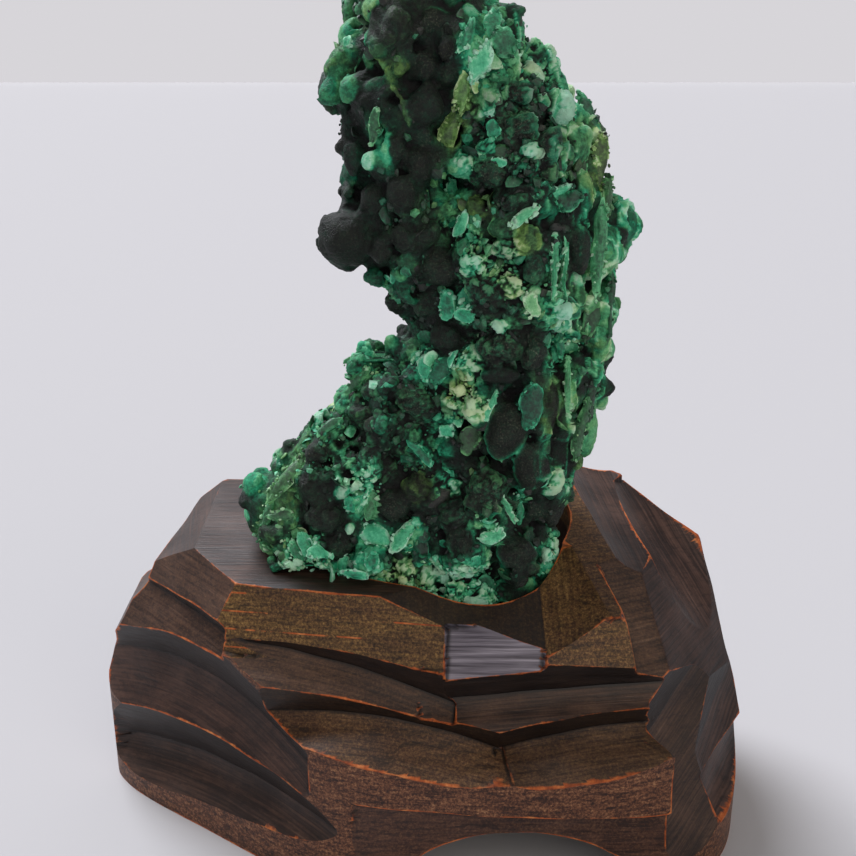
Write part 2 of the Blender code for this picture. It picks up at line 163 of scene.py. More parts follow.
def reach_of(curve, middle, angles):
    """How far the closed curve lies from the middle at each angle."""
    away = curve - np.asarray(middle)
    turn = np.arctan2(away[:, 1], away[:, 0])
    order = np.argsort(turn)
    return np.interp(angles, turn[order], np.hypot(*away[order].T), period=2 * math.pi)


def ripple(points, length, seed):
    """Smooth waver, mostly between -1 and 1: a quarter of the sum of seven sine waves of about that
    length, each with its own seeded direction and start."""
    chance = np.random.default_rng(seed)
    ways = chance.normal(size=(7, 3))
    ways *= (2 * math.pi / length) / np.linalg.norm(ways, axis=1)[:, None]
    starts = chance.uniform(0, 2 * math.pi, 7)
    return np.sin(points @ ways.T + starts).sum(-1) / 4.0


def wavers(points, *lengths_and_seeds):
    """Several ripples of the points, one for each length and seed, side by side."""
    return np.stack([ripple(points, *pair) for pair in lengths_and_seeds], -1)


def level_axes(facing):
    """The level direction along a cut that faces this way, and the direction across it."""
    facing = unit(facing)
    along = unit(np.cross(facing, (0, 0, 1)))
    return facing, along, np.cross(facing, along)


def flat_cut(points, at, facing, half_along, half_across):
    """Distance outside a deep box that lies on the flat cut, with ends that lean outwards."""
    facing, along, across = level_axes(facing)
    away = points - np.asarray(at, float)
    ends = np.maximum(np.abs(away @ along) - half_along, np.abs(away @ across) - half_across)
    ends = ends - END_LEAN * np.maximum(away @ facing, 0)
    return np.maximum(-(away @ facing), ends), np.zeros(len(points), int)


def round_cut(points, start, end, opening, first, last):
    """Distance outside a rod whose surface touches the stroke's deepest line."""
    opening = unit(opening)
    low = np.asarray(start, float) + opening * first
    high = np.asarray(end, float) + opening * last
    length = np.linalg.norm(high - low)
    away = points - low
    along = away @ ((high - low) / length)
    off = np.sqrt(np.maximum((away ** 2).sum(-1) - along ** 2, 0))
    side = off - (first + (last - first) * np.clip(along / length, 0, 1))
    return np.maximum(side, np.maximum(-along, along - length)), np.zeros(len(points), int)


def gouge_axes(start, end, up, down):
    """The crease's middle, length and direction, and the open side of its two walls."""
    start, end = np.asarray(start, float), np.asarray(end, float)
    length = np.linalg.norm(end - start)
    along = (end - start) / length
    up = np.asarray(up, float) - along * (np.asarray(up, float) @ along)
    down = np.asarray(down, float) - along * (np.asarray(down, float) @ along)
    steep = unit(np.cross(along, up))
    steep = steep if steep @ down > 0 else -steep
    broad = unit(np.cross(along, down))
    broad = broad if broad @ up > 0 else -broad
    return (start + end) / 2, length, along, steep, broad, down


def gouge_cut(points, start, end, up, down, bow, hollow, rise):
    """Distance outside a wedge with a bowed crease: its steep wall is flat, its broad wall is a
    flat one less a parabola that is hollow deep at its middle, and its ends lean outwards. The
    broad wall's outer border comes out towards the ends by rise, one number or one for each."""
    middle, length, along, steep, broad, down = gouge_axes(start, end, up, down)
    away = points - middle
    run = away @ along
    share = np.clip(2 * run / length, -1.3, 1.3)
    away = away - np.asarray(bow, float) * (1 - share ** 2)[:, None]
    reach = np.linalg.norm(down)
    place = np.clip(away @ (down / reach) / reach, 0, 1)
    wall = -(away @ steep)
    dish = -(away @ broad) - hollow * 4 * place * (1 - place)
    at_start, at_end = np.broadcast_to(rise, 2)
    dish += np.where(share < 0, at_start, at_end) * share ** 4 * place
    level = np.array((along[0], along[1], 0.0))
    span = abs((points - middle) @ level) / np.linalg.norm(level)
    past = span - length / 2 * np.linalg.norm(level) - OVERRUN
    past = past - END_LEAN * np.maximum(away @ unit(steep + broad), 0)
    shape = np.maximum(np.maximum(wall, dish), past)
    return shape, (dish > wall).astype(int)


CUTS = [(cut, values[:-1], values[-1])
        for cut, table in ((flat_cut, FLATS), (round_cut, ROUNDS), (gouge_cut, GOUGES))
        for values in table.values()]
FOOT_CURVE = smooth_outline(FOOTPRINT)
RECESS_CURVE = smooth_outline(RECESS)
# Surfaces are numbered: the block's side, top, underside and arch, then two for each cut.
SIDE, TOP, UNDERSIDE, ARCH, FIRST_CUT = range(5)


def wood_left(points):
    """How deep inside the wood each point is, which surface is the nearest, and how much nearer it
    is than the next: the least of the distances from the block's sides, top, underside and arch
    and from every cut."""
    angle = np.arctan2(points[:, 1], points[:, 0])
    side = reach_of(FOOT_CURVE, (0, 0), angle) - SIDE_GAP - np.hypot(points[:, 0], points[:, 1])
    across = (points[:, 0] - ARCH_MIDDLE) / ARCH_HALF_WIDTH
    arch = (np.hypot(across, points[:, 2] / ARCH_HEIGHT) - 1) * ARCH_HEIGHT
    layers = [(side, SIDE), (BLOCK_TOP - points[:, 2], TOP), (points[:, 2], UNDERSIDE), (arch, ARCH)]
    by_hand = points + WAVER * wavers(points, (9.0, 11), (8.0, 12), (10.0, 13))
    for number, (cut, values, _) in enumerate(CUTS):
        depth, wall = cut(by_hand, *values)
        layers.append((depth, FIRST_CUT + 2 * number + wall))
    least = np.full(len(points), 1e3)
    second = least.copy()
    name = np.zeros(len(points), int)
    for depth, label in layers:
        nearer = depth < least
        second = np.where(nearer, least, np.minimum(second, depth))
        name = np.where(nearer, label, name)
        least = np.where(nearer, depth, least)
    return least, name, second - least


def trace(starts, ways, steps=34):
    """Walks from each start along its way, each step as long as the wood left, to the first place
    where the wood ends."""
    far = np.zeros(len(ways))
    for _ in range(steps):
        depth = wood_left(starts + ways * far[:, None])[0]
        far += np.maximum(depth, -.3) * .97
    places = starts + ways * far[:, None]
    _, name, gap = wood_left(places)
    return places, name, gap


def crossing(first, second, first_name):
    """Halves the step between two aims until it finds where the surface under the ray changes."""
    low, high = np.zeros(len(first)), np.ones(len(first))
    for _ in range(6):
        half = (low + high) / 2
        name = trace(HEART, units(first + (second - first) * half[:, None] - HEART), 26)[1]
        same = name == first_name
        low, high = np.where(same, half, low), np.where(same, high, half)
    return (low + high) / 2


def even_turns(curve, count):
    """The angle about the heart, and the distance from it, of points spaced evenly along the closed
    curve."""
    around = curve - HEART[:2]
    around = np.vstack([around, around[:1]])
    walked = np.append(0, np.cumsum(np.hypot(*np.diff(around, axis=0).T)))
    even = np.linspace(0, walked[-1], count, endpoint=False)
    x, y = (np.interp(even, walked, around[:, k]) for k in (0, 1))
    return np.arctan2(y, x), np.hypot(x, y)


def stand_aims():
    """Rows of aims for the rays, one ring each, from the recess's rim over the shoulder and down
    the side to the middle of the underside. Then the rings of the recess's floor and wall."""
    turn, edge = even_turns(FOOT_CURVE, COLUMNS)
    out = np.stack([np.cos(turn), np.sin(turn)], -1)
    rim = reach_of(RECESS_CURVE, HEART[:2], turn)

    def ring(reach, height):
        """A ring about the heart, at each angle's own reach and height."""
        flat = HEART[:2] + out * reach[:, None]
        return np.concatenate([flat, np.broadcast_to(height, (COLUMNS,))[:, None]], -1)

    in_wood, shoulder_height = 46.0, 45.0
    straight_up = np.broadcast_to((0.0, 0.0, 1.0), (COLUMNS, 3))
    top = trace(ring(rim, in_wood), straight_up)[0][:, 2]
    lip, shoulder, base = ring(rim, top), ring(edge * .88, shoulder_height), ring(edge, 0.0)
    aims = [lip + (shoulder - lip) * share
            for share in np.linspace(0, 1, TOP_ROWS, endpoint=False)]
    aims += [shoulder + (base - shoulder) * share
             for share in np.linspace(0, 1, SIDE_ROWS, endpoint=False)]
    aims += [ring(edge * (1 - share), 0.0) for share in np.linspace(0, .97, BASE_ROWS)]
    recess = [ring(rim * share, RECESS_FLOOR) for share in (.35, .7, 1.0)]
    recess += [ring(rim, RECESS_FLOOR + (top - RECESS_FLOOR) * share) for share in (.33, .66)]
    return np.array(aims), np.array(recess)


def slid_to_edges(aims, name):
    """All aims as one list, where each aim whose neighbour's ray ends on another surface is slid
    to where the surface changes, if that is under half a step away. Then the moved ones' numbers."""
    number = np.arange(name.size).reshape(name.shape)
    start_from = aims.reshape(-1, 3)
    goal, best = start_from.copy(), np.full(name.size, .5)
    for axis in (0, 1):
        after = np.roll(number, -1, axis)
        differs = name != name.ravel()[after]
        if axis == 0:
            differs[-1] = False
        here, there = number[differs], after[differs]
        share = crossing(start_from[here], start_from[there], name[differs])
        for start, end, part in ((here, there, share), (there, here, 1 - share)):
            close = part < best[start]
            start, end, part = start[close], end[close], part[close]
            best[start] = part
            step = start_from[end] - start_from[start]
            goal[start] = start_from[start] + step * part[:, None]
    goal[number[0]] = aims[0]
    return goal, np.nonzero(best < .5)[0]


def stand_surface():
    """The stand as a function of the turn about its axis and of a row: the recess's floor and wall,
    then where rays from the heart of the wood leave it. Aims next to an edge are slid on to it, so
    that every carved edge is a line of the mesh. Also how near each place is to an edge."""
    aims, recess = stand_aims()
    places, name, gap = trace(HEART, units(aims - HEART).reshape(-1, 3))
    shape = aims.shape[:2]
    goal, moved = slid_to_edges(aims, name.reshape(shape))
    places[moved] = trace(HEART, units(goal[moved] - HEART))[0]
    gap[moved] = 0.0
    places[:COLUMNS] = aims[0]
    far_from_edges = np.full(recess.shape[:2], 9.0)
    return (np.concatenate([recess, places.reshape(aims.shape)]),
            np.concatenate([far_from_edges, gap.reshape(shape)]))


def grid_squares(rows, columns):
    """The corner numbers of a grid that closes on itself sideways, and the four corners, in turn,
    of each of its squares."""
    number = np.arange(rows * columns).reshape(rows, columns)
    beside = np.roll(number, -1, 1)
    return number, *(part.ravel() for part in (number[:-1], beside[:-1], beside[1:], number[1:]))


def fan(pole, ring, after_first=False):
    """Triangles from a pole to each step of a ring, which they run round one way or the other."""
    sides = [np.roll(ring, -1), ring] if after_first else [ring, np.roll(ring, -1)]
    return np.stack([np.full(len(ring), pole)] + sides, -1)


def grid_triangles(rows, columns, gaps):
    """Two triangles for each square of the grid, cut along the diagonal whose ends lie nearer to
    an edge, and a fan at each pole."""
    number, a, b, c, d = grid_squares(rows, columns)
    flat = gaps.ravel()
    first = (flat[a] + flat[c] <= flat[b] + flat[d])[:, None]
    one = np.where(first, np.stack([a, d, c], -1), np.stack([a, d, b], -1))
    two = np.where(first, np.stack([a, c, b], -1), np.stack([b, d, c], -1))
    return np.concatenate([one, two, fan(number.size, number[0]),
                           fan(number.size + 1, number[-1], after_first=True)])


def make_mesh(name, places, faces, smooth_angle=None):
    """A mesh object at the origin from places in millimetres and rows of corner numbers."""
    mesh = bpy.data.meshes.new(name)
    sides = faces.shape[1]
    mesh.vertices.add(len(places))
    mesh.vertices.foreach_set("co", (places * MM).astype(np.float32).ravel())
    mesh.loops.add(faces.size)
    mesh.loops.foreach_set("vertex_index", faces.astype(np.int32).ravel())
    mesh.polygons.add(len(faces))
    mesh.polygons.foreach_set("loop_start", np.arange(0, faces.size, sides, dtype=np.int32))
    mesh.update(calc_edges=True)
    mesh.polygons.foreach_set("use_smooth", np.ones(len(faces), bool))
    if smooth_angle:
        mesh.set_sharp_from_angle(angle=math.radians(smooth_angle))
    made = bpy.data.objects.new(name, mesh)
    bpy.context.scene.collection.objects.link(made)
    return made


def add_values(made, name, kind, domain, values):
    """Stores whole-array values on the mesh under that name."""
    field = "vector" if kind == "FLOAT_VECTOR" else "color" if "COLOR" in kind else "value"
    store = made.data.attributes.new(name, kind, domain)
    store.data.foreach_set(field, np.asarray(values, np.float32).ravel())


def edge_wear(places, faces, outward=True, spread=.55, passes=3):
    """How worn each corner is, from 0 to 1: the sharpness of the nearest outward edge, less the
    distance to it over the spread in millimetres. With outward False, the same for creases."""
    a, b, c = (places[faces[:, k]] for k in range(3))
    facing = np.cross(b - a, c - a)
    facing /= np.maximum(np.linalg.norm(facing, axis=1), 1e-9)[:, None]
    centre = (a + b + c) / 3
    pairs = np.sort(np.concatenate([faces[:, (0, 1)], faces[:, (1, 2)], faces[:, (2, 0)]]), 1)
    owner = np.tile(np.arange(len(faces)), 3)
    order = np.lexsort((pairs[:, 1], pairs[:, 0]))
    pairs, owner = pairs[order], owner[order]
    twin = np.nonzero((pairs[1:] == pairs[:-1]).all(1))[0]
    edge, one, two = pairs[twin], owner[twin], owner[twin + 1]
    bend = np.degrees(np.arccos(np.clip((facing[one] * facing[two]).sum(1), -1, 1)))
    out = ((centre[two] - centre[one]) * facing[one]).sum(1) < 0
    sharp = np.clip((bend - SMALL_BEND) / (LARGE_BEND - SMALL_BEND), 0, 1)
    sharp = sharp * (out if outward else ~out)
    worn = np.zeros(len(places))
    np.maximum.at(worn, edge[:, 0], sharp)
    np.maximum.at(worn, edge[:, 1], sharp)
    loss = np.linalg.norm(places[edge[:, 0]] - places[edge[:, 1]], axis=1) / spread
    for _ in range(passes):
        first, second = worn[edge[:, 0]] - loss, worn[edge[:, 1]] - loss
        np.maximum.at(worn, edge[:, 1], first)
        np.maximum.at(worn, edge[:, 0], second)
    return worn


def stroke_places(points, label):
    """For each point, its place along and across the cut that made the surface there, which the
    fine tool marks follow. The third number differs from cut to cut, so that the marks do too."""
    out = np.zeros((len(points), 3))
    out[:, :2] = points[:, (0, 2)]
    for number, (cut, values, _) in enumerate(CUTS):
        mine = (label - FIRST_CUT) // 2 == number
        if not mine.any():
            continue
        start = np.asarray(values[0], float)
        away = points[mine] - start
        if cut is flat_cut:
            _, along, across = level_axes(values[1])
        elif cut is round_cut:
            along = unit(np.asarray(values[1], float) - start)
            across = unit(np.cross(along, unit(values[2])))
        else:
            middle, length, along, _, _, down = gouge_axes(*values[:4])
            away = points[mine] - middle
            share = 2 * (away @ along) / length
            away = away - np.asarray(values[4]) * (1 - share ** 2)[:, None]
            across = unit(down)
        out[mine, 0], out[mine, 1], out[mine, 2] = away @ along, away @ across, number * 3.7
    return out


def build_stand():
    """The carved block, with what its finish reads: the stain of each face, the places along the
    strokes, and how worn its edges and how deep its creases are, which sets painted shade in them.
    The block's own side and top are stained rusty, its underside and arch nearly black. The stain's
    fourth number is 0 on the steep walls of the gouge strokes, which get near-black painted shade."""
    grid, gaps = stand_surface()
    under = trace(HEART, np.array([[0, 0, -1.0]]))[0][0, 2]
    places = np.concatenate([
        grid.reshape(-1, 3), [(HEART[0], HEART[1], RECESS_FLOOR), (HEART[0], HEART[1], under)]])
    faces = grid_triangles(len(grid), COLUMNS, gaps)
    made = make_mesh("stand_carving", places, faces, 28)
    label = wood_left(places[faces].mean(1))[1]
    tints = np.array([(0, .8, .15)] * 2 + [(0, 0, 0)] * 2
                     + [tint for _, _, tint in CUTS for _ in (0, 1)], float)
    first_gouge = FIRST_CUT + 2 * (len(FLATS) + len(ROUNDS))
    # The stain's fourth number is 1 on broad walls and 0 on the steep walls of the gouges. The wood's
    # material covers the steep walls with near-black painted shade.
    broad_wall = (label < first_gouge) | (label % 2 == 1)
    stain = np.concatenate([tints[label], broad_wall[:, None]], -1)
    corners = places[faces.ravel()]
    add_values(made, "stain", "FLOAT_COLOR", "CORNER", np.repeat(stain, 3, 0))
    add_values(made, "stroke", "FLOAT_VECTOR", "CORNER",
               stroke_places(corners, np.repeat(label, 3)))
    add_values(made, "worn", "FLOAT", "POINT", edge_wear(places, faces))
    # How deep in a crease each corner lies, which the wood's material turns into painted shade.
    add_values(made, "crease", "FLOAT", "POINT", edge_wear(places, faces, outward=False))
    made.data.materials.append(carved_wood())
    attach(made, "root")
    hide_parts("stand")


# The stone

EYE = np.array((1.5, -173.32, 130.02))   # the camera, in millimetres
PITCH = math.radians(18.3367)            # how far it looks down
PHOTO_WIDTH = 856                        # of the photograph, in pixels
FOCAL, CENTRE = 1050.0, PHOTO_WIDTH / 2  # in pixels
SENSOR = 36.0                            # the camera's, in millimetres
STONE_AWAY = 172.0                       # about how far the stone is from it, in millimetres
SKIN_SIZE = .385       # of the stone's fused skin, in millimetres
STONE_TOP = 147.0   # above this height the stone is drawn in a little
PARTING = 86.0      # the height at which the skin is parted in two meshes
SUNK = .7           # how far the solid's surface is sunk under the lumps that are set on it

# How the stone looks about a place of the photograph: pixel, reach in pixels, how mint, how
# crumbly, how olive and how dusty it is.
ZONES = (
    (336, 68, 14, .42, .2, .5, 0), (349, 40, 7, .75, .3, .1, 0), (328, 92, 10, .45, .1, .1, .1),
    (350, 12, 10, .4, .2, .4, 0), (356, 95, 16, .0, .1, 0, 0), (392, 25, 22, .12, .2, .3, .4),
    (392, 72, 10, .45, .2, .8, 0), (408, 112, 9, .3, .2, .7, .2), (430, 20, 24, .1, .1, .2, .8),
    (425, 62, 20, .12, .0, 0, .7), (425, 105, 20, .08, .0, 0, .4), (455, 60, 10, .0, .1, 0, 0),
    (478, 62, 14, .95, .3, .1, 0), (470, 38, 12, .75, .3, .1, 0), (490, 30, 12, .5, .4, .2, 0),
    (462, 95, 11, .75, .3, .8, 0), (448, 130, 11, .55, .2, 1, 0), (386, 152, 13, .8, .2, 0, 0),
    (374, 128, 10, .45, .2, .3, 0), (345, 140, 12, .1, .1, 0, 0), (338, 165, 10, .3, .1, 0, 0),
    (410, 160, 22, .05, .1, .2, .3), (372, 195, 20, .16, .1, 0, .3), (395, 225, 20, .2, .2, .3, .2),
    (440, 180, 14, .38, .2, .3, .1), (344, 240, 34, .04, .0, 0, .3), (330, 262, 9, .35, .1, .1, 0),
    (372, 280, 14, .35, .3, .1, 0), (394, 290, 12, .45, .3, .2, 0), (420, 210, 14, .3, .3, .5, .1),
    (505, 70, 18, .5, .5, .3, .3), (541, 60, 16, .5, .6, .2, .2), (570, 100, 16, .4, .4, .2, .2),
    (520, 120, 26, .18, .7, .2, .9), (487, 150, 14, .3, .7, .1, .4), (530, 165, 20, .25, .8, .1, .6),
    (600, 150, 16, .5, .1, .9, 0), (575, 150, 14, .3, .3, .4, .4), (560, 215, 14, .0, .2, 0, .1),
    (505, 190, 20, .12, .5, .1, .5), (450, 192, 10, .7, .3, .1, 0), (475, 205, 9, .3, .3, 1, .2),
    (500, 228, 13, .35, .2, .5, .4), (525, 235, 13, .4, .3, .8, .1), (462, 225, 9, .7, .6, .1, 0),
    (475, 255, 17, .55, 1, .3, .1), (505, 255, 16, .42, 1, .3, .5), (530, 270, 14, .2, .5, .1, .5),
    (510, 285, 16, .5, 1, .6, .2), (480, 288, 16, .2, .8, .1, .6), (495, 312, 16, .06, .4, .1, .4),
    (555, 270, 9, .6, .5, .3, 0), (580, 250, 12, .12, .1, 0, .5), (602, 260, 13, .65, .05, .4, 0),
    (626, 228, 13, .45, .1, .1, 0), (590, 320, 14, .55, .05, .5, .2), (612, 330, 12, .35, .1, .3, 0),
    (440, 270, 20, .16, .2, .1, .6), (425, 300, 18, .1, .3, .1, .3), (456, 308, 12, .7, .8, 0, 0),
    (532, 305, 9, .85, .5, .4, 0), (562, 315, 8, .7, .7, .1, 0), (498, 328, 9, .75, .7, .1, 0),
    (495, 350, 20, .15, .7, .1, 1), (470, 362, 14, .75, .9, .2, 0), (445, 335, 18, .05, .3, 0, .3),
    (410, 330, 14, .3, .3, .1, .1), (425, 365, 12, .85, .8, 0, 0), (437, 380, 14, .6, .2, 0, 0),
    (500, 375, 18, .0, .1, 0, .1), (530, 355, 16, .08, .4, 0, .8), (560, 345, 12, .6, .6, .1, 0),
    (457, 388, 11, .75, .9, 1, 0), (475, 408, 13, .85, 1, .6, 0), (472, 438, 10, .4, .2, .6, .3),
    (415, 405, 18, .2, .6, .2, .7), (405, 380, 14, .35, .5, .1, .3), (446, 432, 9, .75, .4, 0, 0),
    (425, 450, 14, .5, .5, 0, 0), (452, 458, 12, .0, .2, 0, .1), (505, 432, 24, .1, .1, .1, .7),
    (530, 405, 12, .42, .1, 0, 0), (553, 400, 14, .3, .1, .7, .3), (572, 395, 9, .5, .1, .6, 0),
    (590, 420, 16, .55, .1, .4, 0), (578, 370, 10, .5, .1, .4, 0), (605, 385, 12, .2, .1, .1, 0),
    (531, 468, 20, .06, .1, 0, .6), (550, 478, 9, .75, .9, .1, 0), (487, 487, 20, .2, .6, .3, .8),
    (515, 500, 9, .7, .6, .1, 0), (420, 485, 12, .2, .4, .8, .3), (450, 480, 10, .6, .9, 0, .1),
    (520, 550, 22, .06, .2, 0, .7), (492, 535, 12, .8, .5, .1, 0), (550, 555, 13, .8, .9, .1, 0),
    (460, 540, 16, .08, .3, 0, .6), (455, 512, 14, .1, .5, .1, .5), (480, 575, 14, .7, .9, .1, .1),
    (370, 375, 12, .45, .5, .3, 0), (352, 395, 14, .5, .5, .3, .1), (385, 400, 16, .25, .5, .1, .3),
    (330, 425, 14, .35, .6, .3, .1), (375, 440, 20, .12, .5, .1, .5), (300, 450, 14, .55, .2, .5, 0),
    (318, 468, 14, .25, .5, .2, .5), (345, 455, 14, .3, .6, .2, .3), (272, 505, 16, .55, .1, .6, 0),
    (252, 480, 12, .6, .2, .1, 0), (246, 500, 8, .2, .1, 0, 0), (325, 515, 22, .05, .3, .1, .5),
    (365, 488, 16, .8, .8, 0, 0), (350, 505, 12, .85, .3, 0, 0), (395, 505, 18, .06, .2, 0, .7),
    (408, 470, 16, .2, .6, .2, .3), (310, 550, 18, .85, .9, .2, 0), (285, 535, 14, .55, .4, .5, .1),
    (340, 540, 18, .06, .3, .1, .5), (378, 540, 12, .9, .1, 0, 0), (355, 565, 14, .8, .3, 0, 0),
    (375, 560, 10, .75, .7, 0, 0), (405, 567, 14, .75, 1, .7, 0), (408, 535, 12, .85, .2, .1, 0),
    (425, 555, 12, .35, .2, 0, 0), (432, 580, 14, .85, .9, .1, 0), (395, 555, 9, .05, .1, 0, 0),
    (435, 520, 14, .1, .4, 0, .5),
)

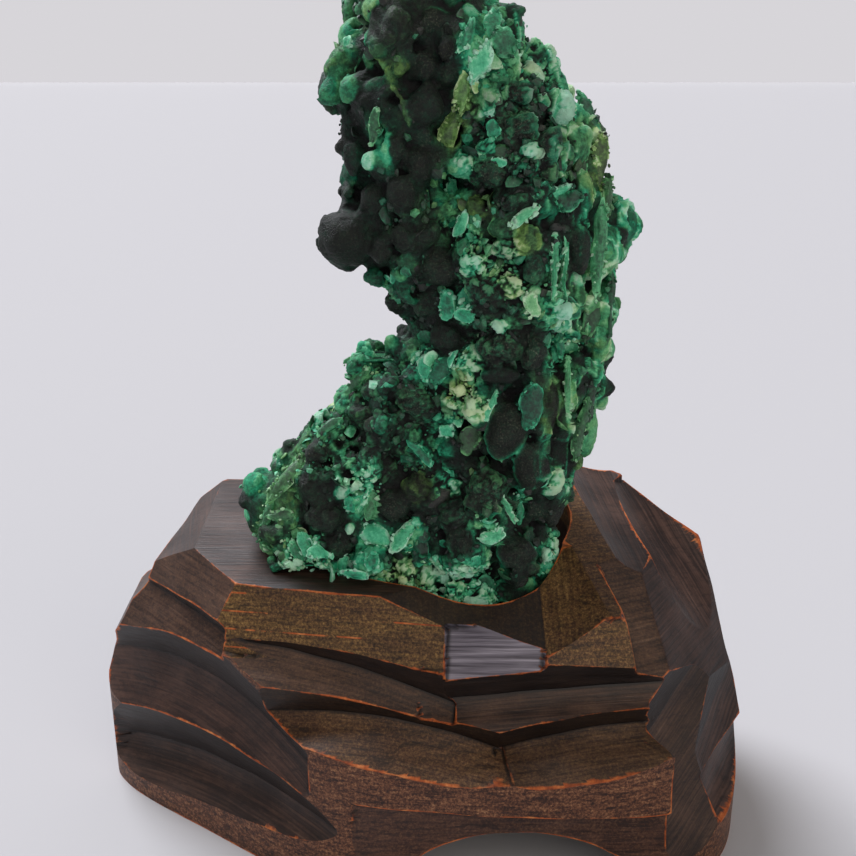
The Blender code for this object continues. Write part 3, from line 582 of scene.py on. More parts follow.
# Single features of the photograph, by kind: pixel, half width and height in pixels, how far the
# top leans to the right in degrees, mint, olive, dust, how far it stands out, and for discs and
# leaves how far the sides and the ends bend back, in millimetres.
SEEN = {
    "ball": (
        (344, 240, 29, 28, 0, .03, 0, .35, 1.2), (336, 68, 13, 20, 8, .38, .5, 0, .4),
        (328, 92, 9, 14, 0, .42, .1, .1, .6), (349, 14, 10, 15, 0, .36, .5, .1, .4),
        (424, 66, 15, 15, 0, .03, 0, .5, .5), (425, 106, 19, 21, 0, .07, 0, .3, .7),
        (396, 28, 15, 18, 10, .1, .4, .3, .4), (448, 72, 13, 17, 10, .1, .1, .5, .3),
        (352, 160, 11, 17, 0, .1, 0, .2, .5), (337, 170, 8, 12, 0, .3, 0, 0, .4),
        (372, 200, 14, 17, 0, .05, 0, .3, .5), (402, 192, 15, 19, 8, .04, .1, .4, .5),
        (404, 238, 14, 16, 0, .08, .3, .3, .4), (380, 250, 13, 15, 0, .05, 0, .3, .4),
        (374, 279, 11, 10, 0, .25, .1, 0, .4), (396, 150, 10, 14, 0, .06, .1, .4, .4),
        (428, 232, 14, 13, 0, .1, .3, .4, .4), (418, 165, 14, 18, -6, .05, .2, .4, .3),
        (440, 268, 19, 20, 0, .06, .1, .6, .7), (426, 302, 15, 14, 0, .08, .1, .4, .4),
        (445, 335, 17, 16, 0, .03, 0, .3, .3), (500, 375, 20, 9, 4, 0, 0, .1, .3),
        (455, 512, 15, 13, 0, .08, .1, .5, .5), (394, 506, 17, 15, 0, .05, 0, .7, .5),
        (253, 482, 11, 13, 0, .5, .1, 0, .5), (325, 518, 19, 15, 0, .03, .1, .4, .4),
        (338, 545, 15, 12, 0, .05, .1, .5, .4),),
    "disc": (
        (432, 22, 21, 12, -12, .08, .2, 1, .6, .6, .6), (566, 74, 10, 20, -28, .35, .1, .3, .5, .6, .4),
        (543, 52, 12, 15, -40, .4, .2, .2, .5, .6, .4), (522, 92, 15, 12, -8, .15, .1, 1, .5, .4, .4),
        (524, 128, 17, 14, 10, .14, .1, 1, .5, .4, .4),
        (501, 228, 14, 12, -6, .32, .5, .4, 1.2, .4, .8),
        (528, 240, 15, 16, 0, .38, .9, .2, .8, .6, .6), (581, 250, 12, 24, 0, .1, .05, .5, .3, .8, .6),
        (553, 402, 13, 32, 6, .25, .7, .4, .9, 1, .8),
        (505, 432, 21, 29, 12, .05, .05, .8, 1.1, 1.2, 1.2),
        (531, 468, 18, 27, -6, .04, 0, .6, 1, 1, 1), (519, 553, 20, 19, 0, .05, 0, .7, .9, 1, 1),
        (460, 542, 16, 15, 0, .06, 0, .6, .6, .6, .6),),
    "leaf": (
        (349, 41, 6, 5, 0, .8, .1, 0, .4, 0, 0), (480, 62, 9, 22, 22, .95, .05, 0, .9, .8, .6),
        (468, 36, 6, 18, 24, .6, .1, 0, .6, .6, .4), (462, 94, 8, 17, 8, .7, .9, 0, .9, .8, .6),
        (450, 128, 9, 22, 22, .55, 1, 0, .9, 1, .8), (505, 42, 12, 14, 20, .55, .2, .1, .5, .6, .4),
        (492, 22, 8, 14, 10, .6, .1, 0, .4, .5, .4), (374, 126, 5, 16, 8, .45, .4, 0, .4, .4, .4),
        (590, 112, 7, 20, -18, .5, .2, .1, .5, .6, .4), (601, 160, 9, 31, 10, .5, 1, 0, .7, 1, .6),
        (583, 172, 5, 24, 8, .4, .6, .3, .5, .8, .4), (608, 196, 6, 22, 6, .5, .6, 0, .5, .8, .4),
        # The near-white leaf at pixel (559, 193) is a painted highlight: a pale patch standing in for a
        # glint.
        (559, 193, 15, 6, -30, .95, 0, 0, .5, .3, .6), (572, 200, 16, 9, -30, .4, .1, 0, .2, .3, .6),
        (498, 163, 7, 6, 0, .8, 0, 0, .4, .2, .2), (493, 130, 9, 8, 0, .6, 0, 0, .5, .3, .3),
        (452, 192, 8, 13, 8, .7, .1, 0, .7, .6, .4), (525, 216, 17, 6, -32, .95, .2, 0, 1.2, .3, 1),
        (462, 224, 6, 13, 24, .85, .05, 0, 1.1, .4, .4), (554, 268, 3, 34, 2, .75, .2, 0, .9, .4, .2),
        (565, 270, 2.4, 30, -2, .7, .2, 0, .6, .3, .2), (601, 250, 7, 48, 2, .6, .35, 0, .5, .8, .6),
        (592, 318, 9, 26, 10, .42, .5, .1, .6, .8, .5), (611, 300, 5, 34, 4, .35, .3, 0, .3, .8, .4),
        (532, 306, 9, 13, -14, .95, .5, 0, .8, .5, .3), (447, 304, 9, 15, 12, .65, 0, 0, .8, .6, .4),
        (465, 314, 12, 7, 8, .7, 0, 0, .7, .3, .5), (561, 345, 4, 18, -6, .65, .1, 0, .6, .4, .3),
        (556, 352, 6, 11, 20, .7, .05, 0, .6, .4, .3), (426, 368, 6, 14, -20, .8, 0, 0, .9, .5, .4),
        (441, 372, 8, 17, 35, .42, 0, 0, .6, .6, .5), (451, 357, 4, 10, 12, .8, 0, 0, .7, .3, .3),
        (471, 440, 10, 14, 14, .38, .6, .3, .8, .6, .4), (490, 405, 3, 16, 22, .8, .1, 0, .6, .3, .3),
        (447, 430, 7, 8, 20, .85, 0, 0, .7, .4, .3), (420, 452, 5, 18, -42, .6, 0, 0, .6, .4, .4),
        (532, 405, 12, 26, 14, .4, 0, 0, .2, .6, .6), (568, 385, 3, 30, 2, .7, .4, 0, .7, .4, .3),
        (582, 430, 7, 34, 14, .45, .5, 0, .3, .8, .5), (592, 400, 6, 30, 10, .3, .3, 0, .2, .8, .4),
        (505, 505, 4, 20, -28, .75, .2, 0, .8, .4, .4), (520, 512, 4, 14, 4, .7, .1, 0, .6, .4, .3),
        (492, 536, 14, 8, -14, .9, .1, 0, .9, .4, .6), (377, 536, 10, 20, -56, .95, 0, 0, 1.4, 1.4, 1),
        (402, 538, 7, 17, 38, .9, .1, 0, 1.2, .9, .6), (343, 566, 5, 13, 4, .8, 0, 0, .9, .6, .4),
        (355, 574, 14, 5, 0, .75, 0, 0, .9, .3, .5), (373, 562, 7, 9, 20, .7, 0, 0, .7, .4, .4),
        (421, 552, 9, 16, 8, .3, 0, 0, .5, .6, .6), (372, 506, 7, 16, 6, .6, .4, 0, .8, 1, .5),
        (350, 504, 5, 10, -14, .7, 0, 0, .6, .5, .4), (286, 478, 8, 34, 28, .55, .6, 0, .9, 1, 1.2),
        (267, 515, 6, 16, 12, .6, .4, 0, .7, .8, .6), (280, 515, 14, 5, 0, .45, .5, 0, .5, .4, .8),
        (306, 545, 6, 16, -24, .75, .1, 0, .8, .6, .4), (318, 552, 12, 6, 12, .8, .05, 0, .8, .4, .4),
        (296, 552, 6, 12, -10, .65, .2, 0, .6, .5, .4), (356, 380, 5, 17, 30, .55, .4, 0, .5, .5, .4),
        (330, 425, 5, 14, 50, .5, .3, 0, .5, .4, .4),),
    "rock": (
        (387, 150, 7, 15, 5, .62, 0, 0, .3), (490, 175, 14, 12, 0, .12, .1, 1, .4),
        (548, 148, 14, 16, -10, .1, .1, .8, .4), (530, 150, 8, 6, 10, .7, .1, 0, .4),
        (487, 113, 6, 5, 0, .8, 0, 0, .3), (476, 206, 9, 10, 0, .3, 1, .2, .6),
        (480, 288, 17, 14, 0, .18, .1, .8, .6), (505, 250, 13, 10, 0, .4, .3, .5, .8),
        (512, 284, 13, 11, 0, .5, .7, .1, .8), (535, 270, 11, 13, 0, .15, .1, .6, .5),
        (562, 311, 6, 7, 0, .85, 0, 0, .6), (498, 328, 8, 7, 0, .85, .1, 0, .8),
        (495, 350, 20, 15, 0, .14, .15, 1, .8), (535, 352, 13, 18, 0, .08, 0, 1, .5),
        (480, 362, 13, 9, -8, .6, .3, .1, .8), (457, 388, 10, 8, 0, .75, 1, 0, .8),
        (475, 408, 10, 13, 0, .75, .6, 0, .9), (415, 404, 19, 12, 8, .18, .2, .8, .5),
        (487, 486, 19, 18, 0, .2, .3, .9, .8), (405, 567, 12, 11, 0, .78, .8, 0, .7),
        (355, 486, 5, 4, 0, 1, .1, 0, .5), (338, 480, 2.4, 2.4, 0, 1, .1, 0, .5),
        (349, 530, 4, 6, 0, .8, 0, 0, .6),),
    "rib": (
        (386, 70, 4, 15, -38, .5, 1, .1, .6), (407, 112, 3, 17, -12, .35, .8, .3, .5),
        (397, 92, 3, 12, -34, .4, .9, .1, .5),),
}


def sight(px, py):
    """The direction from the camera through a pixel of the photograph."""
    across, down = (px - CENTRE) / FOCAL, (py - CENTRE) / FOCAL
    return unit((across, math.cos(PITCH) - down * math.sin(PITCH),
                 -math.sin(PITCH) - down * math.cos(PITCH)))


def seen_at(places):
    """The pixels at which places show in the photograph."""
    away = places - EYE
    ahead = away[..., 1] * math.cos(PITCH) - away[..., 2] * math.sin(PITCH)
    down = -away[..., 2] * math.cos(PITCH) - away[..., 1] * math.sin(PITCH)
    return np.stack([CENTRE + FOCAL * away[..., 0] / ahead, CENTRE + FOCAL * down / ahead], -1)


def zone_values(places):
    """Mint, crumb, olive and dust at each place: the zones' own, weighted by a bell curve of the
    distance in the photograph, which is bent by wavers of 7 and 4 pixels so that zones have ragged
    borders. Behind the stone's middle, where the photograph doesn't reach, slow wavers take their
    place."""
    zones = np.array(ZONES)
    pixel = seen_at(places) + 7 * wavers(places, (4.5, 41), (4.5, 42)) \
        + 4 * wavers(places, (1.8, 43), (1.8, 44))
    gap = np.hypot(pixel[:, None, 0] - zones[:, 0], pixel[:, None, 1] - zones[:, 1])
    weight = np.exp(-(gap / zones[:, 2]) ** 2 * 1.6) + 1e-7
    values = (weight @ zones[:, 3:]) / weight.sum(1, keepdims=True)
    behind = np.clip((places[:, 1] + 1) / 6, 0, 1)[:, None]
    unseen = (.22, .4, .25, .4) + np.array((.34, .45, .4, .4)) * wavers(
        places, (14, 31), (17, 32), (19, 33), (15, 34))
    return np.clip(values + (unseen - values) * behind, 0, 1).T


def scattered(cubes, seed):
    """Three numbers from 0 to 1 for each cube of a lattice, always the same for the same cube. The
    large odd numbers only mix its bits."""
    key = cubes @ np.array((73856093, 19349663, 83492791)) + seed * 9176263
    out = []
    for turn in (2654435761, 2246822519, 3266489917):
        mixed = (key * turn) & 0xFFFFFFFF
        mixed = ((mixed ^ (mixed >> 15)) * 2246822519) & 0xFFFFFFFF
        mixed = ((mixed ^ (mixed >> 13)) * 3266489917) & 0xFFFFFFFF
        out.append((mixed ^ (mixed >> 16)) / 0xFFFFFFFF)
    return np.stack(out, -1)


def cells(points, seed):
    """Space shared out among seeded spots, one in each unit cube: for each point, the distance to
    the nearest spot and to the next, and the nearest one's own number from 0 to 1."""
    base = np.floor(points).astype(np.int64)
    nearest = np.full(len(points), 9.0)
    second, mark = nearest.copy(), np.zeros(len(points))
    for step in np.ndindex(3, 3, 3):
        cube = base + np.array(step) - 1
        place = scattered(cube, seed)
        gap = np.sqrt(((points - cube - place) ** 2).sum(-1))
        closer = gap < nearest
        second = np.where(closer, nearest, np.minimum(second, gap))
        mark = np.where(closer, (place[:, 0] * 7.3 + place[:, 1] * 5.1) % 1.0, mark)
        nearest = np.where(closer, gap, nearest)
    return nearest, second, mark


def merged_solid(node):
    """Places and triangles of a CAD node in millimetres, with doubled corners merged."""
    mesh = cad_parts[node].data
    places = np.zeros(len(mesh.vertices) * 3, np.float32)
    mesh.vertices.foreach_get("co", places)
    mesh.calc_loop_triangles()
    faces = np.zeros(len(mesh.loop_triangles) * 3, np.int32)
    mesh.loop_triangles.foreach_get("vertices", faces)
    places = places.reshape(-1, 3) / MM
    _, first, back = np.unique(np.round(places, 3), axis=0, return_index=True, return_inverse=True)
    return places[first].astype(float), back.ravel()[faces.reshape(-1, 3)]


def shared_out(values, faces, count):
    """The sum, at each corner, of what its triangles give it."""
    return np.stack([
        sum(np.bincount(faces[:, k], values[:, part], count) for k in range(3))
        for part in range(values.shape[1])], -1)


def corner_normals(places, faces):
    """At each corner, the unit sum of its triangles' area vectors."""
    a, b, c = (places[faces[:, k]] for k in range(3))
    out = shared_out(np.cross(b - a, c - a), faces, len(places))
    return out / np.maximum(np.linalg.norm(out, axis=1), 1e-9)[:, None]


def smooth_field(values, faces, passes):
    """Each pass gives every corner the mean of its triangles' corners."""
    number = shared_out(np.ones((len(faces), 1)), faces, len(values))
    for _ in range(passes):
        values = shared_out(values[faces].mean(1), faces, len(values)) / number
    return values


def strayed(places):
    """Bends space by slow wavers, so that no lump stays a true ball."""
    return places + .3 * wavers(places, (5.0, 1), (5.0, 2), (5.0, 3)) \
        + .1 * wavers(places, (2.2, 4), (2.2, 5), (2.2, 6))


def fused(places, faces, size):
    """One skin round overlapping closed lumps, drawn by a voxel remesh of that size, as
    triangles. The numpy grids can't give it, because lumps that grew together share one skin."""
    source = make_mesh("lumps_to_fuse", places, faces)
    step = source.modifiers.new("fuse", "REMESH")
    step.mode, step.voxel_size = "VOXEL", size * MM
    bpy.context.view_layer.update()
    mesh = source.evaluated_get(bpy.context.evaluated_depsgraph_get()).to_mesh()
    out = np.zeros(len(mesh.vertices) * 3, np.float32)
    mesh.vertices.foreach_get("co", out)
    corners = np.zeros(len(mesh.loops), np.int32)
    mesh.loops.foreach_get("vertex_index", corners)
    quads = corners.reshape(-1, 4)
    bpy.data.objects.remove(source, do_unlink=True)
    return out.reshape(-1, 3).astype(float) / MM, np.concatenate(
        [quads[:, (0, 1, 2)], quads[:, (0, 2, 3)]])


def drawn_in(places):
    """Pulls what lies above the stone's top height a little down, to stay in the solid's box."""
    out = places.copy()
    over = np.maximum(places[:, 2] - STONE_TOP, 0)
    out[:, 2] -= over * .22
    return out


def clear_of_wood(places):
    """How far each place is clear of the stand's wood, counting the recess as free."""
    away = places[:, :2] - HEART[:2]
    rim = reach_of(RECESS_CURVE, HEART[:2], np.arctan2(away[:, 1], away[:, 0]))
    return np.maximum(-wood_left(places)[0], rim - np.hypot(away[:, 0], away[:, 1]))


class Stone:
    """The solid's surface, for finding where things sit on it."""

    def __init__(self):
        self.places, self.faces = merged_solid("malachite")
        self.normals = units(smooth_field(
            corner_normals(self.places, self.faces), self.faces, 3))
        self.tree = BVHTree.FromPolygons(self.places.tolist(), self.faces.tolist())

    def under_pixel(self, px, py):
        """The place on the stone behind a pixel, or the nearest to the line of sight, and its
        normal, which is the mean of its triangle's."""
        hit, _, face, _ = self.tree.ray_cast(Vector(EYE), Vector(sight(px, py)))
        if hit is None:
            hit, _, face, _ = self.tree.find_nearest(Vector(EYE + sight(px, py) * STONE_AWAY))
        return np.array(hit), unit(self.normals[self.faces[face]].sum(0))

    def sample(self, count, seed):
        """Seeded places spread over the surface by area, with their normals."""
        chance = np.random.default_rng(seed)
        a, b, c = (self.places[self.faces[:, k]] for k in range(3))
        area = np.linalg.norm(np.cross(b - a, c - a), axis=1)
        pick = chance.choice(len(area), count, p=area / area.sum())
        share = chance.dirichlet((1, 1, 1), count)[..., None]
        places = (self.places[self.faces[pick]] * share).sum(1)
        return places, units((self.normals[self.faces[pick]] * share).sum(1))


def nearest_tones(places, source, faces, tones):
    """The tone of the source lumps at the spot on them that is nearest to each place. The remesh
    that fuses them drops their tones, so each corner is looked up in a tree."""
    tree = BVHTree.FromPolygons(source.tolist(), faces.tolist())
    found = [tree.find_nearest(place) for place in places.tolist()]
    spots = np.array([spot[0] for spot in found])
    corner = faces[[spot[2] for spot in found]]
    gap = np.linalg.norm(source[corner] - spots[:, None], axis=2) + .02
    weight = 1 / gap ** 2
    return (tones[corner] * weight[..., None]).sum(1) / weight.sum(1)[:, None]


def closed_part(places, faces, tones, keep):
    """The triangles that are kept, closed where they were parted by a fan to the middle of the
    open edges, which lies inside the stone. An edge is open where only one triangle has it."""
    used, faces = np.unique(faces[keep], return_inverse=True)
    faces = faces.reshape(-1, 3)
    places, tones = places[used], tones[used]
    ways = np.concatenate([faces[:, (0, 1)], faces[:, (1, 2)], faces[:, (2, 0)]])
    _, first, count = np.unique(
        np.sort(ways, 1), axis=0, return_index=True, return_counts=True)
    start, end = ways[first[count == 1]].T
    hub = np.full(len(start), len(places))
    return (np.concatenate([places, [places[start].mean(0)]]),
            np.concatenate([faces, np.stack([end, start, hub], -1)]),
            np.concatenate([tones, tones[:1]]))


def fused_skin(stone, crowd):
    """One skin round the solid's own surface, sunk a little, and the lumps, softened where they
    meet, with its tones: what it is fused from, softened once."""
    lumps, numbers, tones = crowd.soup(("ball", "disc", "lump", "rock", "rib"))
    mint, _, olive, dust = zone_values(stone.places)
    # The fourth number is the painted light, 0.8 on the solid's own surface.
    core = np.stack([mint * .75, olive, dust * .5, np.full(len(mint), .8)], -1)
    source = np.concatenate([stone.places - stone.normals * SUNK, lumps])
    corners = np.concatenate([stone.faces, numbers + len(stone.places)])
    places, faces = fused(source, corners, SKIN_SIZE)
    own = nearest_tones(places, source, corners, np.concatenate([core, tones]))
    return strayed(smooth_field(places, faces, 2)), faces, smooth_field(own, faces, 1)


def domes(places, size, seed, stretch=(1, 1, 1)):
    """Low domes of that size in millimetres, packed like cells: how high each place is on its
    dome, how far it is from the next dome, and the dome's own number from 0 to 1."""
    near, second, mark = cells(places / (np.array(stretch) * size), seed)
    return np.sqrt(np.clip(1 - (near / .8) ** 2, 0, 1)), second - near, mark


def right_flank(places, normals):
    """1 on the stone's right side, where upright plates stand, and 0 elsewhere: past a line that
    leans with the stone, above the stand, where the surface faces right."""
    line = np.interp(places[:, 2], (60, 85, 105, 130), (15, 19, 20, 12))
    past = np.clip((places[:, 0] - line) / 3, 0, 1) * np.clip((places[:, 2] - 62) / 6, 0, 1)
    return past * np.clip(normals[:, 0] * 1.6 + .4, 0, 1)


def skin_relief(places, normals, painted_light, crumb):
    """How far each corner of the skin moves along its normal, in millimetres, and how much paler
    and more olive that makes it: by 1.5 mm knobs and 0.75 mm grains where it is crumbly, by upright
    plates on the right flank, by pits, and by two fine ripples. Nothing moves into the wood."""
    flank = right_flank(places, normals)
    knob, _, knob_mark = domes(places, 1.5, 2)
    grain, _, grain_mark = domes(places, .75, 3)
    plate, border, plate_mark = domes(places, 2.2, 4, (1.1, 1.6, 5.5))
    pit_near, _, pit_mark = cells(places / 2.9, 7)
    pits = (pit_mark > .74 - .15 * crumb) * np.clip((.5 - pit_near) / .3, 0, 1)
    lift = crumb * (.7 * (knob - .6) + .8 * (knob_mark - .5))
    lift += (.04 + .3 * crumb) * (grain - .6) + crumb * .3 * (grain_mark - .5)
    lift += flank * (1.5 * (plate_mark - .45) + .5 * (plate - .6))
    # Pits sink only where the painted light, the tone's fourth number, is below 0.9.
    lift -= 1.6 * pits * (1 - flank) * (painted_light < .9)
    lift += .06 * ripple(places, .8, 52) + (.03 + .08 * crumb) * ripple(places, .45, 53)
    room = np.clip(clear_of_wood(places) / 1.2, 0, 1)
    paler = (knob_mark - .5) * .35 * crumb
    paler += flank * (.5 * np.clip(1 - border / .14, 0, 1) + .4 * (plate_mark - .5))
    return np.clip(lift, -2.4, 1.2) * room, paler, (knob_mark - .5) * .5


def build_body(stone, crowd, material):
    """The stone itself: the fused skin with its relief, parted in two by height to keep each mesh
    small. Crowns and sharp spots, which stand out from the mean of what is round them, are paler
    where it is crumbly. Hollows hold less dust and get painted shade, darkened towards black."""
    places, faces, own = fused_skin(stone, crowd)
    normals = units(smooth_field(corner_normals(places, faces), faces, 2))
    _, crumb, _, dust = zone_values(places)
    lift, paler, greener = skin_relief(places, normals, own[:, 3], crumb)
    places = drawn_in(places + normals * lift[:, None])
    crown, spike = (((places - smooth_field(places, faces, passes)) * normals).sum(1)
                    for passes in (24, 3))
    high = np.clip(.5 + crown / 1.1, 0, 1)
    mint = own[:, 0] + paler + crumb * (.5 * (high - .5) + .25 * np.clip(spike / .12, -1, 1))
    mint -= (1 - crumb) * .1 * (high - .5)
    grey = own[:, 2] * (.2 + high) + crumb * .3 * dust
    # The tone's fourth number is painted light: 0 deep in the hollows, where the material paints shade,
    # and 1 on the open surface.
    tones = np.clip(np.stack([mint, own[:, 1] + greener, grey, (high - .1) / .3], -1), 0, 1)
    height = places[faces].mean(1)[:, 2]
    for name, keep in (("stone_foot", height < PARTING), ("stone_tower", height >= PARTING)):
        part_places, part_faces, part_tones = closed_part(places, faces, tones, keep)
        give_to_stone(make_mesh(name, part_places, part_faces), part_tones, material)


def give_to_stone(made, tones, material):
    """Stores the tones and makes the mesh one of the stone's pieces."""
    add_values(made, "tone", "FLOAT_COLOR", "POINT", tones)
    made.data.materials.append(material)
    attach(made, "root")
    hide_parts("malachite")


def turned_shape(profile, columns):
    """A profile of reach and height turned about the pole, and closed by a fan at each end."""
    profile = np.array(profile, float)
    turn = np.linspace(0, 2 * math.pi, columns, endpoint=False)
    reach, height = profile[1:-1, 0, None], profile[1:-1, 1, None]
    rings = np.stack(np.broadcast_arrays(
        reach * np.cos(turn), reach * np.sin(turn), height), -1).reshape(-1, 3)
    number, a, b, c, d = grid_squares(len(reach), columns)
    places = np.concatenate([rings, [(0, 0, profile[0, 1])], [(0, 0, profile[-1, 1])]])
    return places, np.concatenate([
        np.stack([a, b, c], -1), np.stack([a, c, d], -1),
        fan(number.size, number[0], after_first=True), fan(number.size + 1, number[-1])])


def half_turn(rows):
    """The profile of a ball."""
    lift = np.linspace(-math.pi / 2, math.pi / 2, rows + 2)
    return np.stack([np.cos(lift), np.sin(lift)], -1)


# Profiles of reach and height, from the middle of the underside over the rim to the top's middle
DISC = ((0, -.9), (.6, -.85), (.9, -.55), (1.0, -.1), (1.03, .12), (.98, .3), (.9, .27),
        (.8, .42), (.62, .68), (.36, .9), (0, 1.0))
LEAF = ((0, -.5), (.5, -.5), (.85, -.4), (.97, -.12), (1.0, .12), (.95, .34), (.8, .42), (.45, .5),
        (0, .5))
SMALL_LEAF = ((0, -.5), (.8, -.4), (1.0, 0), (.8, .4), (0, .5))

# Each kind of piece: its shape, how rough it is, and how much paler its rim or its foot is.
KINDS = {
    "ball": (turned_shape(half_turn(13), 24), .07, .12),
    "rock": (turned_shape(half_turn(13), 24), .22, .10),
    "rib": (turned_shape(half_turn(11), 14), .2, .10),
    "disc": (turned_shape(DISC, 28), .05, .5),
    "leaf": (turned_shape(LEAF, 28), .18, .4),
    "lump": (turned_shape(half_turn(9), 14), .13, .14),
    "flake": (turned_shape(SMALL_LEAF, 11), .2, .35),
    "chip": (turned_shape(half_turn(2), 5), .34, .2),
    "bead": (turned_shape(half_turn(2), 6), .2, .0),
}
THIN = ("leaf", "flake")   # these are wavy, and darker towards their middle

# What covers the rest of the stone: how many are tried, the least and the greatest half size in
# millimetres, how many sizes apart they keep, how far they tilt, whether they grow where the stone
# is crumbly, how many sizes deep they sit, how flat the flattest and the least flat are, and how
# much they bend.
SOWN = {
    "lump": (2600, 1.3, 3.0, 1.9, .25, False, .5, (.55, .95), 0),
    "flake": (9000, .8, 2.0, 1.7, .5, True, .28, (.2, .4), .35),
    "chip": (16000, .3, 1.0, 1.9, .8, True, .3, (.5, 1.0), 0),
    "bead": (15000, .16, .42, 2.1, .3, True, .2, (.7, 1.0), 0),
}


def copy_tones(kind, spots, tones, seed):
    """Mint, olive, dust and painted light at each corner of the copies: a copy's own, paler and less
    dusty at its broken rim, or at its foot where it is round. The painted light gives painted shade
    on the underside of thin copies and discs, and makes round copies darker towards the bottom."""
    (places, _), _, pale = KINDS[kind]
    reach, height = np.hypot(places[:, 0], places[:, 1]), places[:, 2]
    mint = tones[:, :1]
    if kind in THIN or kind == "disc":
        rim = np.clip((reach - .8) / .18, 0, 1) * (kind in THIN or height > .05)
        rim = rim * np.clip(
            .35 + 1.1 * ripple(spots, 1.1 if kind in THIN else 2.6, seed), 0, 1)
        # Painted shade on the underside.
        light = np.where(height > 0, 1.0, .7)
    else:
        rim = np.clip(.45 - height, 0, 1)
        # Painted shade, darker towards the bottom.
        light = np.clip(.75 + height * .6, .25, 1)
    if kind in THIN:
        mint = mint * (.65 + .35 * np.clip(reach, 0, 1) ** 3)
    mint = np.clip(mint + pale * rim * (1 - .5 * tones[:, :1]), 0, 1)
    dust = tones[:, 2:3] * (1 - .8 * rim)
    return np.stack(np.broadcast_arrays(mint, tones[:, 1:2], dust, light), -1)


class Crowd:
    """Collects copies of shapes and joins them into meshes."""

    def __init__(self):
        self.rows = {}

    def add(self, kind, centres, axes, sizes, tones, bends):
        """Copies of a kind: centres, unit axes as columns, half sizes, mint with olive and dust,
        and the bend of the sides and of the ends."""
        self.rows.setdefault(kind, []).append((centres, axes, sizes, tones, bends))

    def joined(self, kind, seed):
        """Each corner is the centre, plus its place along the copy's axes times the half sizes and
        a seeded swelling, less the bends times the squares of its places across and along."""
        (places, faces), rough, _ = KINDS[kind]
        centres, axes, sizes, tones, bends = (
            np.concatenate(part) for part in zip(*self.rows[kind]))
        spots = places + np.random.default_rng(seed).uniform(0, 60, (len(centres), 1, 3))
        swell = 1 + rough * (ripple(spots, 2.4, seed) + .7 * ripple(spots, 1.1, seed + 1)
                             + .4 * ripple(spots, .5, seed + 2))
        local = places * swell[..., None] * sizes[:, None]
        local[..., 2] -= bends @ (places[:, :2] ** 2).T
        if kind in THIN:
            reach = np.minimum(np.hypot(places[:, 0], places[:, 1]), 1)
            local[..., 2] += .3 * (ripple(spots, 1.7, seed + 3) * reach) \
                * sizes[:, :2].min(1)[:, None]
        out = centres[:, None] + np.einsum("nij,nvj->nvi", axes, local)
        numbers = faces + (np.arange(len(centres)) * len(places))[:, None, None]
        tone = copy_tones(kind, spots, tones, seed + 4)
        return out.reshape(-1, 3), numbers.reshape(-1, 3), tone.reshape(-1, 4)

    def soup(self, kinds):
        """All copies of the kinds as one set of places, triangles and tones."""
        places, faces, tones, start = [], [], [], 0
        for kind in kinds:
            got, numbers, tone = self.joined(kind, 50 + 5 * list(KINDS).index(kind))
            places.append(got)
            faces.append(numbers + start)
            tones.append(tone)
            start += len(got)
        return np.concatenate(places), np.concatenate(faces), np.concatenate(tones)

    def build(self, name, kinds, material, smooth_angle=None):
        """One piece of the stone from all copies of the kinds."""
        places, faces, tones = self.soup(kinds)
        give_to_stone(make_mesh(name, drawn_in(strayed(places)), faces, smooth_angle),
                      tones, material)


def spaced_out(places, reaches, taken=()):
    """Keeps, in order, each place that lies further from every kept one than the mean of their
    reaches. A dictionary of 4 mm cubes holds what is kept."""
    cubes, keep, size = {}, [], 4.0

    def put(place, reach):
        """Adds a kept place to its cube."""
        cubes.setdefault(tuple((place // size).astype(int)), []).append((*place, reach))

    for place, reach in taken:
        put(place, reach)
    for number, (place, reach) in enumerate(zip(places, reaches)):
        i, j, k = (place // size).astype(int)
        near = [item for a in (i - 1, i, i + 1) for b in (j - 1, j, j + 1)
                for c in (k - 1, k, k + 1) for item in cubes.get((a, b, c), ())]
        x, y, z = place
        if all((x - a) ** 2 + (y - b) ** 2 + (z - c) ** 2 > ((reach + r) / 2) ** 2
               for a, b, c, r in near):
            put(place, reach)
            keep.append(number)
    return np.array(keep, int)


def frames_on(normals, turns):
    """For each normal, three unit axes as columns: the level one turned by the angle, the one
    across it, and the normal."""
    normals = units(normals)
    level = np.cross((0, 0, 1.0), normals)
    level /= np.maximum(np.linalg.norm(level, axis=1), 1e-6)[:, None]
    rise = np.cross(normals, level)
    cos, sin = np.cos(turns)[:, None], np.sin(turns)[:, None]
    return np.stack([level * cos + rise * sin, rise * cos - level * sin, normals], -1)


def add_seen(stone, crowd):
    """The single features, each set on the solid behind its pixel and turned half to the eye.
    Gives back where they are."""
    taken, leaves = [], []
    for kind, features in SEEN.items():
        for px, py, wide, tall, turn, mint, olive, dust, proud, *bends in features:
            place, normal = stone.under_pixel(px, py)
            scale = np.linalg.norm(EYE - place) / FOCAL
            wide, tall, turn = wide * scale, tall * scale, math.radians(turn)
            facing = unit(normal + .9 * unit(EYE - place))
            least = min(wide, tall)
            thick = {"leaf": .28 + .08 * least, "disc": .45 * least}.get(kind, least * .85)
            centre = place + facing * (proud * .6 - thick * (.15 if kind == "leaf" else .5))
            crowd.add(kind, centre[None], frames_on(facing[None], np.array([-turn])),
                      np.array([(wide, tall, thick)]), np.array([(mint, olive, dust)]),
                      np.array([bends or (0, 0)]))
            taken.append((place, .8 * (wide + tall)))
            if kind == "leaf":
                leaves.append((centre, wide, tall, facing, turn, mint, olive))
    add_broken_rims(crowd, leaves)
    return taken


